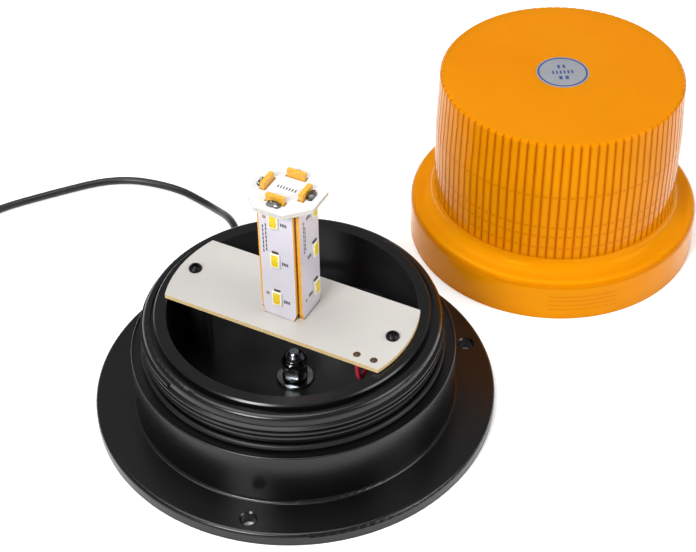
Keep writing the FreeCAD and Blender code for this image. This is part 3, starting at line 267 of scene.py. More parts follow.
@dataclass(frozen=True)
class MouldedLens(Finish):
    """Clear amber plastic, with painted shade: a deeper amber painted where the moulding falls in shade.

    That is in the grooves between ribs, at the rings inside the wall, at the rims of skirt and top, over the
    flat top, and at the short threads inside the skirt. Lengths are in millimetres.

    A band is a height and half its height, a radius and half its width, and a strength. rib_share is where a
    groove's painted shade starts and where it is full, as shares of a rib's pitch from its crest, and its
    strength.
    thread_degrees is the turn of the three thread arcs, half their pitch and half their length.
    """

    # Colour of the painted shade at grooves, rings, rims, top and threads
    painted_shade_colour: str = "df8200"
    rib_count: int = 90
    rib_share: Triple = (0.14, 0.46, 0.85)
    rib_middle_mm: Pair = (46.3, 25.3)
    wall_mm: Pair = (45.2, 1.7)
    bands: tuple[tuple[float, ...], ...] = (
        *((height, 0.55, 45.2, 1.7, 0.5) for height in (21.5, 26.2, 31.4, 35.7, 49.5)),
        (14.9, 0.9, 55.0, 2.0, 0.55), (72.0, 1.0, 44.6, 1.0, 0.35), (71.9, 0.3, 0.0, 60.0, 0.35))
    threads: tuple[tuple[float, ...], ...] = tuple((height, 0.4, 54.0, 2.0, 0.4)
                                                   for height in (4.4, 6.4, 8.4, 10.4))
    thread_degrees: Triple = (86.0, 60.0, 13.5)

    def height_at(self, tree: Tree, place: Socket) -> Socket:
        """Slow flow waves left by the mould."""
        noise = add_node(tree, "ShaderNodeTexNoise", {"Vector": place, "Scale": per_mm(self.grain_mm),
                                                      "Detail": 1.0, "Distortion": 0.4})
        return noise.outputs["Fac"]

    def colour_at(self, tree: Tree, place: Socket) -> Socket:
        """Amber in soft patches, mixed towards the painted shade colour at grooves, rings, rims, top and
        threads.

        Args:
            tree: Node tree that gets the nodes.
            place: Place on the piece, in object coordinates.

        Returns:
            The colour.
        """
        centred = add_node(tree, "ShaderNodeVectorMath",
                           {0: place, 1: (LENS_CENTRE[0] * MM, LENS_CENTRE[1] * MM, 0.0)},
                           operation="SUBTRACT").outputs[0]
        spot = add_node(tree, "ShaderNodeSeparateXYZ", {"Vector": centred})
        flat = add_node(tree, "ShaderNodeVectorMath", {0: centred, 1: (1.0, 1.0, 0.0)}, operation="MULTIPLY")
        radius = add_node(tree, "ShaderNodeVectorMath", {0: flat.outputs[0]},
                          operation="LENGTH").outputs["Value"]
        height = spot.outputs["Z"]
        angle = add_node(tree, "ShaderNodeMath", {0: spot.outputs["Y"], 1: spot.outputs["X"]},
                         operation="ARCTAN2").outputs[0]
        ribbed = self.both(tree, self.near(tree, height, *self.rib_middle_mm),
                           self.near(tree, radius, *self.wall_mm))
        masks = [self.both(tree, self.grooves(tree, angle), ribbed)]
        masks += [self.band(tree, height, radius, *band) for band in self.bands]
        inside = self.thread_arc(tree, angle)
        masks += [self.both(tree, self.band(tree, height, radius, *band), inside) for band in self.threads]
        # Mask of the painted shade at grooves, rings, rims, top and threads
        depth = masks[0]
        for mask in masks[1:]:
            depth = add_node(tree, "ShaderNodeMath", {0: depth, 1: mask}, operation="MAXIMUM").outputs[0]
        mixed = add_node(tree, "ShaderNodeMixRGB", {"Fac": depth, "Color1": super().colour_at(tree, place),
                                                    "Color2": linear(self.painted_shade_colour)})
        return mixed.outputs[0]

    def grooves(self, tree: Tree, angle: Socket) -> Socket:
        """Mask of the painted shade in the grooves between the ribs.

        Args:
            tree: Node tree that gets the nodes.
            angle: Angle about the lens's axis.

        Returns:
            The mask.
        """
        low, high, strength = self.rib_share
        count = add_node(tree, "ShaderNodeMath", {0: angle, 1: self.rib_count / math.tau},
                         operation="MULTIPLY")
        side = add_node(tree, "ShaderNodeMath", {0: count.outputs[0], 1: 0.5}, operation="PINGPONG")
        return add_node(tree, "ShaderNodeMapRange",
                        {"Value": side.outputs[0], "From Min": low, "From Max": high, "To Max": strength},
                        interpolation_type="SMOOTHSTEP").outputs[0]

    def thread_arc(self, tree: Tree, angle: Socket) -> Socket:
        """Mask of the three arcs that hold a short thread.

        Args:
            tree: Node tree that gets the nodes.
            angle: Angle about the lens's axis.

        Returns:
            The mask.
        """
        first, half_pitch, half_arc = (math.radians(value) for value in self.thread_degrees)
        turned_by = add_node(tree, "ShaderNodeMath", {0: angle, 1: first}, operation="ADD")
        away = add_node(tree, "ShaderNodeMath", {0: turned_by.outputs[0], 1: half_pitch},
                        operation="PINGPONG")
        return add_node(tree, "ShaderNodeMath", {0: away.outputs[0], 1: half_arc},
                        operation="LESS_THAN").outputs[0]

    def band(self, tree: Tree, height: Socket, radius: Socket, *sizes: float) -> Socket:
        """Mask of one band, whose five sizes are as the class says."""
        middle, half, reach, width, strength = sizes
        return self.both(tree, self.near(tree, height, middle, half, strength),
                         self.near(tree, radius, reach, width))

    def near(self, tree: Tree, value: Socket, middle: float, half: float, strength: float = 1.0) -> Socket:
        """Strength where a length is within half of middle, both in millimetres, and 0 elsewhere."""
        inside = add_node(tree, "ShaderNodeMath", {0: value, 1: middle * MM, 2: half * MM},
                          operation="COMPARE")
        return self.both(tree, inside.outputs[0], strength)

    def both(self, tree: Tree, first: Socket, second: Socket | float) -> Socket:
        """Where two masks overlap, or one mask at a strength."""
        return add_node(tree, "ShaderNodeMath", {0: first, 1: second}, operation="MULTIPLY").outputs[0]


@dataclass(frozen=True)
class MouldedHousing(Finish):
    """Black plastic with a polished outside, and painted light: a lighter grey colour in the bore."""

    bore_painted_light_colour: str = "242425"
    bore_mm: float = 42.75

    def colour_at(self, tree: Tree, place: Socket) -> Socket:
        """Outside colour, and the bore's painted light, a lighter grey, nearer to the axis than its wall.

        Args:
            tree: Node tree that gets the nodes.
            place: Place on the piece, in object coordinates.

        Returns:
            The colour.
        """
        flat = add_node(tree, "ShaderNodeVectorMath", {0: place, 1: (1.0, 1.0, 0.0)}, operation="MULTIPLY")
        radius = add_node(tree, "ShaderNodeVectorMath", {0: flat.outputs[0]}, operation="LENGTH")
        inside = add_node(tree, "ShaderNodeMath", {0: radius.outputs["Value"], 1: self.bore_mm * MM},
                          operation="LESS_THAN")
        # Painted light: the bore is coloured lighter grey where light fills the cavity
        mixed = add_node(tree, "ShaderNodeMixRGB", {
            "Fac": inside.outputs[0], "Color1": super().colour_at(tree, place),
            "Color2": linear(self.bore_painted_light_colour)})
        return mixed.outputs[0]


# Injection-moulded ABS from a lightly polished tool: deep black, soft sheen with clear edge highlights
ABS = MouldedHousing("moulded_abs", "08080a", "0c0c0d", (0.21, 0.28), 30.0, 0.35, 0.003, specular=0.45)
# Nitrile rubber: black, dull, with a skin that catches a broad soft light
RUBBER = Finish("nitrile_rubber", "0b0b0c", "111112", (0.34, 0.46), 8.0, 0.25, 0.008, ior=1.52, specular=0.35)
# Clear amber polycarbonate from a polished tool: glossy, glowing where light passes through, with painted
# shade in a deeper amber at its grooves, rings and rims
AMBER = MouldedLens("clear_amber_polycarbonate", "ffb00c", "fba706", (0.08, 0.14), 40.0, 14.0, 0.05, ior=1.3,
                    specular=0.2, transmission=0.45, gloss_colour="ffb020")
# White solder mask over glass-fibre: smooth, slightly glossy, faintly grey
BOARD = CircuitBoard("masked_board", "bfbcb7", "b9b6b2", (0.28, 0.36), 25.0, 0.6, 0.004, ior=1.55)
# Moulded heat-proof plastic of the LED bodies: warm white, satin
LED_WHITE = Finish("led_ceramic_white", "f4f3ec", "e9e8e0", (0.3, 0.38), 2.0, 0.2, 0.003)
# Silicone filled with yellow phosphor powder: saturated, slightly soft
PHOSPHOR = Finish("phosphor_silicone", "ffe022", "ffd012", (0.32, 0.45), 0.8, 0.12, 0.01, ior=1.42,
                  subsurface=0.2)
# Tin solder, reflowed: bright grey with dull frosted patches
SOLDER = Finish("reflowed_tin", "8f8f8d", "4c4b49", (0.16, 0.4), 1.2, 0.4, 0.03, metallic=1.0)
# Flux residue over the leads' solder joints: dark brown, half glossy
FLUX = Finish("flux_residue", "4a3a26", "2c2620", (0.2, 0.4), 0.8, 0.2, 0.02)
# Bare copper rings, tinned thinly: orange-brown metal, half dull
COPPER = Finish("tinned_copper", "b3793c", "8f5a26", (0.3, 0.45), 1.0, 0.2, 0.004, metallic=1.0)
# Silk-screen ink of the boards: flat and nearly black
INK = Finish("screen_ink", "2b2a2c", "37363a", (0.5, 0.6), 1.0, 0.15, 0.003)
# Zinc-plated steel: cool grey, die marks across its axis
ZINC = TurnedMetal("zinc_plated_steel", "9a9c9f", "787b7f", (0.12, 0.26), 3.0, 0.2, 0.008, metallic=1.0)
# Nickel-plated steel cup of the magnet: mid-grey metal with fine drawn rings
NICKEL = TurnedMetal("nickel_plated_steel", "9c9ca0", "88888c", (0.24, 0.36), 12.0, 0.2, 0.004, metallic=1.0)
# Sintered ferrite: dark grey, dull and gritty
FERRITE = Finish("sintered_ferrite", "2b2b2e", "38383a", (0.55, 0.7), 4.0, 0.3, 0.02)
# Black-oxide steel screws: oily black, faint metal sheen
BLACK_STEEL = Finish("black_oxide_steel", "141416", "222225", (0.26, 0.4), 1.5, 0.2, 0.006, metallic=0.75)
# Filled epoxy of the driver parts: dark, finely pitted
EPOXY = Finish("moulded_epoxy", "1d1d1f", "262628", (0.42, 0.55), 2.0, 0.15, 0.008)
# Drawn aluminium can: pale grey metal with fine rings
ALUMINIUM = TurnedMetal("drawn_aluminium", "c3c4c6", "aeb0b3", (0.22, 0.34), 5.0, 0.2, 0.004, metallic=1.0)
# Extruded PVC insulation of the red lead: soft gloss, slightly pink
RED_PVC = Finish("red_pvc", "dc3c58", "c42e48", (0.3, 0.4), 4.0, 0.4, 0.004)
# The same insulation on the black lead: near black, soft gloss
BLACK_PVC = Finish("black_pvc", "101012", "17171a", (0.3, 0.4), 4.0, 0.4, 0.004)
# Jacket of the cable: extruded PVC, smooth along its length, a long soft highlight
JACKET = Finish("extruded_pvc_jacket", "121213", "1b1b1c", (0.3, 0.4), 6.0, 0.6, 0.006, specular=0.45)
# Nylon tie: slightly glossy black
NYLON = Finish("nylon_tie", "161617", "1e1e20", (0.32, 0.44), 3.0, 0.3, 0.005)
# Phenolic-like plug moulding: glossy black
PLUG = Finish("glossy_plug_moulding", "101011", "161618", (0.2, 0.3), 10.0, 0.4, 0.003, specular=0.4)
# Nickel-plated brass contacts: bright and slightly warm
CONTACT = TurnedMetal("nickel_plated_brass", "c9c6bd", "b3b0a8", (0.14, 0.26), 4.0, 0.2, 0.003, metallic=1.0)
# Drawn glass tube of the fuse: clear, faintly green
GLASS = Finish("drawn_glass_tube", "e8f0ee", "dfe9e6", (0.04, 0.06), 5.0, 1.0, 0.001, transmission=0.9)
# Printed film: pale grey, satin
FILM = Finish("printed_film", "8e9097", "888a91", (0.34, 0.42), 6.0, 0.4, 0.003)
# Printed ink of the label: dark blue, satin
NAVY_INK = Finish("navy_ink", "2a3f77", "32497f", (0.38, 0.46), 2.0, 0.3, 0.002)
# Side boards of the LED column: white solder mask, with yellow glass-fibre where they are cut or slot into
# the cap
COLUMN_FRONT = CircuitBoard("column_board_front", "dad6de", "d0ccd6", (0.28, 0.36), 20.0, 0.6, 0.004,
                            ior=1.55, core_colour="f2b944", core_second_colour="dd9a26",
                            facing=(0.5113, 0.8594, 0.0), bare_above_mm=89.7)
# The same board, turned by a right angle
COLUMN_SIDE = replace(COLUMN_FRONT, name="column_board_side", facing=(0.8594, -0.5113, 0.0))
# The cap's routed edge is covered by mask and looks nearly white
CAP = CircuitBoard("cap_board_mask", "e2e1e0", "dad9d9", (0.28, 0.36), 20.0, 0.6, 0.004, ior=1.55,
                   core_colour="d5d3cd", core_second_colour="bdb8ad")
# Lacquered resistors: dull blue-grey
RESISTOR = Finish("lacquered_resistor", "3c4650", "333c46", (0.35, 0.5), 1.5, 0.2, 0.005)
# Painted shade in the seam between two boards: a dark brown, glossy strip
SEAM_SHADE = Finish("painted_seam_shade", "7a340e", "5c2408", (0.15, 0.3), 1.5, 0.3, 0.01)
# Solder under the LED terminals: dull and dark where flux stayed on it
DARK_SOLDER = Finish("fluxed_solder", "5d4a38", "3a2c20", (0.25, 0.45), 0.8, 0.2, 0.01, metallic=0.6)


@contextmanager
def edit_mode(piece: Piece) -> Iterator[None]:
    """Edit one piece alone, then return to object mode.

    Args:
        piece: Piece to edit.

    Returns:
        The context, which yields nothing.
    """
    only(piece)
    bpy.ops.object.mode_set(mode="EDIT")
    yield
    bpy.ops.object.mode_set(mode="OBJECT")


def only(*pieces: Piece) -> None:
    """Select these pieces and nothing else, the first of them active."""
    bpy.ops.object.select_all(action="DESELECT")
    for piece in pieces:
        piece.select_set(True)
    bpy.context.view_layer.objects.active = pieces[0]


def named(name: str) -> Piece:
    """Name the new primitive, and move its place into its mesh.

    Args:
        name: Name of the piece and its mesh.

    Returns:
        The piece, the only one selected.
    """
    piece = bpy.context.object
    piece.name = name
    piece.data.name = name
    only(piece)
    bpy.ops.object.transform_apply(location=True, rotation=True, scale=True)
    return piece


def pick(piece: Piece, test: Callable[[Vector], bool]) -> None:
    """Select the vertices of a piece in edit mode whose place passes a test.

    Args:
        piece: Piece in edit mode.
        test: Whether a vertex at this place, in metres, is selected.
    """
    bpy.ops.mesh.select_mode(type="VERT")
    bpy.ops.mesh.select_all(action="DESELECT")
    mesh = bmesh.from_edit_mesh(piece.data)
    for vertex in mesh.verts:
        vertex.select_set(test(vertex.co))
    mesh.select_flush_mode()
    bmesh.update_edit_mesh(piece.data)


def modify(piece: Piece, kind: str, **settings) -> Piece:
    """Add a modifier, set it and apply it.

    Args:
        piece: Piece that it changes.
        kind: Type of the modifier, such as BEVEL.
        settings: Attributes of the modifier.

    Returns:
        The piece.
    """
    only(piece)
    modifier = piece.modifiers.new(kind.lower(), kind)
    for key, value in settings.items():
        setattr(modifier, key, value)
    bpy.ops.object.modifier_apply(modifier=modifier.name)
    return piece


def boolean(piece: Piece, tool: Piece, operation: str = "DIFFERENCE") -> Piece:
    """Cut, join or intersect a piece with a tool, which is then removed.

    Args:
        piece: Piece that it changes.
        tool: Closed piece that cuts, joins or bounds it.
        operation: DIFFERENCE, UNION or INTERSECT.

    Returns:
        The piece.
    """
    modify(piece, "BOOLEAN", operation=operation, object=tool, solver="EXACT")
    bpy.data.objects.remove(tool)
    return piece


def soften(piece: Piece, width_mm: float, segments: int = 2, limit: float = 35) -> Piece:
    """Round the sharp edges of a piece by a width in millimetres."""
    return modify(piece, "BEVEL", width=width_mm * MM, segments=segments, limit_method="ANGLE",
                  angle_limit=math.radians(limit), use_clamp_overlap=True)


def smooth(piece: Piece) -> Piece:
    """Shade a piece smooth, apart from its sharp edges.

    Args:
        piece: Piece to shade.

    Returns:
        The piece.
    """
    only(piece)
    bpy.ops.object.shade_smooth_by_angle(angle=SMOOTH_ANGLE)
    return piece


def move(piece: Piece, change: Matrix) -> Piece:
    """Move or turn a piece inside its mesh."""
    piece.data.transform(change)
    return piece


def about_z(degrees: float) -> Matrix:
    """Turn about the vertical axis."""
    return Matrix.Rotation(math.radians(degrees), 4, "Z")


def shift(x: float, y: float, z: float) -> Matrix:
    """Move by millimetres."""
    return Matrix.Translation(Vector((x, y, z)) * MM)


def copied(piece: Piece, name: str, change: Matrix) -> Piece:
    """Copy a piece with its own mesh, and move the copy.

    Args:
        piece: Piece to copy.
        name: Name of the copy and its mesh.
        change: How the copy moves or turns.

    Returns:
        The copy.
    """
    twin = piece.copy()
    twin.data = piece.data.copy()
    twin.name = name
    twin.data.name = name
    bpy.context.scene.collection.objects.link(twin)
    return move(twin, change)


def joined(name: str, pieces: Sequence[Piece]) -> Piece:
    """Join pieces into one of a new name.

    Args:
        name: Name of the joined piece and its mesh.
        pieces: Pieces that become one.

    Returns:
        The joined piece.
    """
    only(*pieces)
    bpy.ops.object.join()
    pieces[0].name = name
    pieces[0].data.name = name
    return pieces[0]


def rounded(corners: Sequence[tuple[float, ...]], closed: bool = True) -> list[Pair]:
    """Put an arc at each corner of an outline that names a radius.

    Args:
        corners: Radius, height and optional corner radius, in millimetres.
        closed: Whether the last corner joins the first.

    Returns:
        Points of the outline.
    """
    points = []
    for index, corner in enumerate(corners):
        here = Vector(corner[:2])
        inner = closed or 0 < index < len(corners) - 1
        if len(corner) < 3 or not inner:
            points.append((here.x, here.y))
            continue
        back = (Vector(corners[index - 1][:2]) - here).normalized()
        ahead = (Vector(corners[(index + 1) % len(corners)][:2]) - here).normalized()
        bend = math.pi - back.angle(ahead)
        centre = here + (back + ahead).normalized() * (corner[2] / math.cos(bend / 2))
        start = here + back * corner[2] * math.tan(bend / 2) - centre
        sense = 1 if back.x * ahead.y - back.y * ahead.x < 0 else -1
        steps = max(2, math.ceil(bend / ARC_STEP))
        for step in range(steps + 1):
            angle = sense * bend * step / steps
            spoke = Matrix.Rotation(angle, 2) @ start
            points.append((centre.x + spoke.x, centre.y + spoke.y))
    return points


def turned(name: str, outline: Outline, sides: int = 128, start: Cap = Cap.LOOP,
           end: Cap = Cap.LOOP) -> Piece:
    """Extrude and scale a ring along an outline, as on a lathe.

    Args:
        name: Name of the new piece.
        outline: Radius and height of each ring, in millimetres.
        sides: Number of sides of the ring.
        start: AXIS closes the first ring with a flat disc.
        end: AXIS closes the last ring with a flat disc, LOOP joins it to the first.

    Returns:
        The turned piece, about the Z axis.
    """
    radius, height = outline[0]
    deselect_all()
    bpy.ops.mesh.primitive_circle_add(vertices=sides, radius=radius * MM, location=(0, 0, height * MM),
                                      fill_type="TRIFAN" if start is Cap.AXIS else "NOTHING")
    piece = named(name)
    rest = list(outline[1:])
    if start is Cap.LOOP and end is Cap.LOOP:
        rest.append(outline[0])
    with edit_mode(piece):
        bpy.ops.mesh.select_mode(type="EDGE")
        bpy.ops.mesh.select_all(action="SELECT")
        if start is Cap.AXIS:
            bpy.ops.mesh.region_to_loop()
        for next_radius, next_height in rest:
            bpy.ops.mesh.extrude_region_move(
                TRANSFORM_OT_translate={"value": (0, 0, (next_height - height) * MM)})
            if abs(next_radius - radius) > 1e-6:
                scale = next_radius / radius
                bpy.ops.transform.resize(value=(scale, scale, 1), center_override=(0, 0, next_height * MM))
            radius, height = next_radius, next_height
        if end is Cap.AXIS:
            bpy.ops.mesh.extrude_region_move(TRANSFORM_OT_translate={"value": (0, 0, 0)})
            bpy.ops.mesh.merge(type="CENTER")
        bpy.ops.mesh.select_all(action="SELECT")
        bpy.ops.mesh.remove_doubles(threshold=MERGE)
        bpy.ops.mesh.normals_make_consistent(inside=False)
    return smooth(piece)


def deselect_all() -> None:
    """Leave edit mode and deselect everything, so that an operator works on the new primitive alone."""
    if bpy.context.object and bpy.context.object.mode != "OBJECT":
        bpy.ops.object.mode_set(mode="OBJECT")
    bpy.ops.object.select_all(action="DESELECT")


def box(name: str, size: Triple, centre: Triple, round_mm: float = 0.0) -> Piece:
    """Cube of a size and centre in millimetres, its edges rounded.

    Args:
        name: Name of the new piece.
        size: Width, depth and height.
        centre: Its middle.
        round_mm: Width of its rounded edges, 0 for sharp ones.

    Returns:
        The box.
    """
    deselect_all()
    bpy.ops.mesh.primitive_cube_add(size=1, location=[value * MM for value in centre],
                                    scale=[value * MM for value in size])
    piece = named(name)
    if round_mm:
        soften(piece, round_mm)
        smooth(piece)
    return piece


def rod(name: str, radius: float, bottom: float, top: float, x: float = 0.0, y: float = 0.0,
        sides: int = 48) -> Piece:
    """Upright cylinder in millimetres, used as a tool or as the start of a piece.

    Args:
        name: Name of the new piece.
        radius: Its radius.
        bottom: Height of its lower end.
        top: Height of its upper end.
        x: Place of its axis along X.
        y: Place of its axis along Y.
        sides: Number of its sides.

    Returns:
        The rod.
    """
    deselect_all()
    bpy.ops.mesh.primitive_cylinder_add(vertices=sides, radius=radius * MM, depth=(top - bottom) * MM,
                                        location=(x * MM, y * MM, (bottom + top) / 2 * MM))
    return named(name)


def wound_ridge(name: str, radius: float, height: float, section: Pair, degrees: float,
                pitch: float = 0.0, sides: int = 8, steps_per_turn: int = 128) -> Piece:
    """Wind a small section about the Z axis, as a thread, a ring segment or a spring.

    Args:
        name: Name of the new piece.
        radius: Radius of the section's centre.
        height: Height of the section's centre at the start.
        section: Half its radial width and half its height.
        degrees: How far it winds.
        pitch: Rise of one turn.
        sides: Sides of the section.
        steps_per_turn: Steps in one full turn.

    Returns:
        The wound piece, closed at both ends.
    """
    deselect_all()
    bpy.ops.mesh.primitive_circle_add(vertices=sides, radius=MM, location=(radius * MM, 0, height * MM),
                                      rotation=(math.pi / 2, 0, 0))
    piece = bpy.context.object
    piece.scale = (section[0], section[1], 1)
    piece = named(name)
    steps = max(4, round(steps_per_turn * degrees / 360))
    modify(piece, "SCREW", axis="Z", angle=math.radians(degrees), screw_offset=pitch * degrees / 360 * MM,
           steps=steps, render_steps=steps)
    with edit_mode(piece):
        bpy.ops.mesh.select_all(action="SELECT")
        bpy.ops.mesh.remove_doubles(threshold=MERGE / 4)
        bpy.ops.mesh.fill_holes(sides=0)
        bpy.ops.mesh.select_all(action="SELECT")
        bpy.ops.mesh.normals_make_consistent(inside=False)
    return smooth(piece)


def dress(piece: Piece, finish: Finish, body: Body = Body.BASE,
          replaces: Sequence[str] = ()) -> Piece:
    """Give a piece its finish, its body and the nodes that it stands for.

    Args:
        piece: Piece to dress.
        finish: What it is made of.
        body: Body that it rides on.
        replaces: CAD nodes that it stands for.

    Returns:
        The piece.
    """
    piece.data.materials.clear()
    piece.data.materials.append(finish.material())
    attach(piece, body.value)
    if replaces:
        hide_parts(*replaces)
    LOG.info("piece %s: %d faces", piece.name, len(getattr(piece.data, "polygons", [])))
    return piece


def dress_node(name: str, finish: Finish) -> None:
    """Give a CAD node that stays its finish."""
    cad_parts[name].material_slots[0].material = finish.material()


def spread(name: str, model: Piece, places: Sequence[Matrix], finish: Finish,
           replaces: Sequence[str] = ()) -> None:
    """Copy a model to several places as one dressed piece, and remove the model.

    Args:
        name: Name of the joined piece.
        model: Piece to copy.
        places: How each copy moves or turns.
        finish: What it is made of.
        replaces: CAD nodes that it stands for.
    """
    twins = [copied(model, f"{name}_{index}", change) for index, change in enumerate(places)]
    bpy.data.objects.remove(model)
    dress(joined(name, twins), finish, replaces=replaces)


@dataclass
class NeckSeal:
    """O-ring in the groove under the thread, with its mould flash."""

    radius: float = 51.25
    height: float = 26.15
    thickness: float = 1.2
    flash: float = 0.07

    def build(self) -> None:
        """Turn the ring's round section, with a fine flash line at its widest."""
        ring = []
        for step in range(24):
            angle = math.tau * step / 24
            reach = self.thickness - self.flash + (self.flash if step in (0, 12) else 0.0)
            ring.append((self.radius + reach * math.cos(angle), self.height + reach * math.sin(angle)))
        dress(turned("neck_o_ring", ring, 192), RUBBER, replaces=("neck_seal",))


@dataclass
class MagnetStud:
    """Threaded stud of the magnet with its washer, spring washer and two nuts.

    Lengths are in millimetres, and nut_turn is in degrees.
    """

    core: float = 2.1
    crest: float = 2.5
    pitch: float = 0.8
    bottom: float = 0.9
    top: float = 19.75
    floor: float = 6.95
    washer: Pair = (6.6, 1.2)
    spring: Pair = (4.5, 1.4)
    nut_flats: float = 8.0
    nut_base: float = 9.55
    nut_height: float = 4.7
    nut_turn: float = 12.0

    def stud(self) -> None:
        """Cylinder with a chamfered end and a rolled thread."""
        core = turned("stud_core", [(self.core, self.bottom), (self.core, self.top - 0.5),
                                    (self.core - 0.5, self.top)], 48, Cap.AXIS, Cap.AXIS)
        turns = (self.top - 0.9 - self.bottom - 4.0) / self.pitch
        thread = wound_ridge("stud_thread", self.core, self.bottom + 4.2,
                             (self.crest - self.core, self.pitch * 0.42), 360 * turns, self.pitch, 4, 40)
        shank = turned("stud_shank", rounded([
            (self.crest, self.bottom + 0.02), (self.crest, self.bottom + 3.6, 0.3),
            (self.core, self.bottom + 3.9)], False), 48, Cap.AXIS, Cap.AXIS)
        dress(joined("magnet_stud", [core, thread, shank]), ZINC, replaces=("mounting_stud",))

    def washers(self) -> None:
        """Flat washer, and a split spring washer on it."""
        hole = self.crest + 0.15
        low = self.floor + self.washer[1]
        flat = turned("flat_washer", rounded([
            (hole, self.floor), (self.washer[0], self.floor, 0.3), (self.washer[0], low, 0.3),
            (hole, low, 0.15)]), 96)
        dress(flat, ZINC, replaces=("stud_washer",))
        wide, high = self.spring
        split = wound_ridge("split_washer", (hole + wide) / 2, low + high / 2,
                            ((wide - self.crest - 0.2) / 2, high / 2 - 0.1), 350.0, 0.08, 12, 72)
        dress(split, ZINC, replaces=("stud_spring_washer",))

    def hexagon(self, name: str, base: float, top: float, collar: bool) -> Piece:
        """Hexagon rounded by a barrel and bored.

        Args:
            name: Name of the new nut.
            base: Height of its lower face, in millimetres.
            top: Height of its upper face, in millimetres.
            collar: Whether it narrows to a locking collar at its top.

        Returns:
            The nut, about the Z axis.
        """
        half = self.nut_flats / 2
        corner = half * 1.155
        upper = [(corner, top - 0.45, 0.4), (half, top + 0.01)]
        if collar:
            upper = [(corner, top - 1.7, 0.5), (half * 0.99, top - 1.3, 0.2), (half * 0.95, top - 0.5, 0.35),
                     (half * 0.7, top + 0.01)]
        nut = rod(name, half / math.cos(math.pi / 6), base, top, sides=6)
        barrel = turned("nut_barrel", rounded([(half, base - 0.01), (corner, base + 0.45, 0.4), *upper],
                                              False), 96, Cap.AXIS, Cap.AXIS)
        boolean(nut, barrel, "INTERSECT")
        boolean(nut, rod("nut_bore", self.crest + 0.03, base - 1, top + 1, sides=64))
        return smooth(soften(nut, 0.08, 2, 25))

    def nuts(self) -> None:
        """Clamping nut on the spring washer, and a lock nut on it, turned apart."""
        top = self.nut_base + self.nut_height
        clamp = move(self.hexagon("stud_clamp_nut", self.nut_base, top, False), about_z(self.nut_turn))
        dress(clamp, ZINC, replaces=("stud_nut",))
        lock = move(self.hexagon("stud_lock_nut", top + 0.02, top + 3.6, True), about_z(self.nut_turn + 24))
        dress(lock, ZINC)

    def build(self) -> None:
        """Make the stud, the washers and the nuts."""
        self.stud()
        self.washers()
        self.nuts()


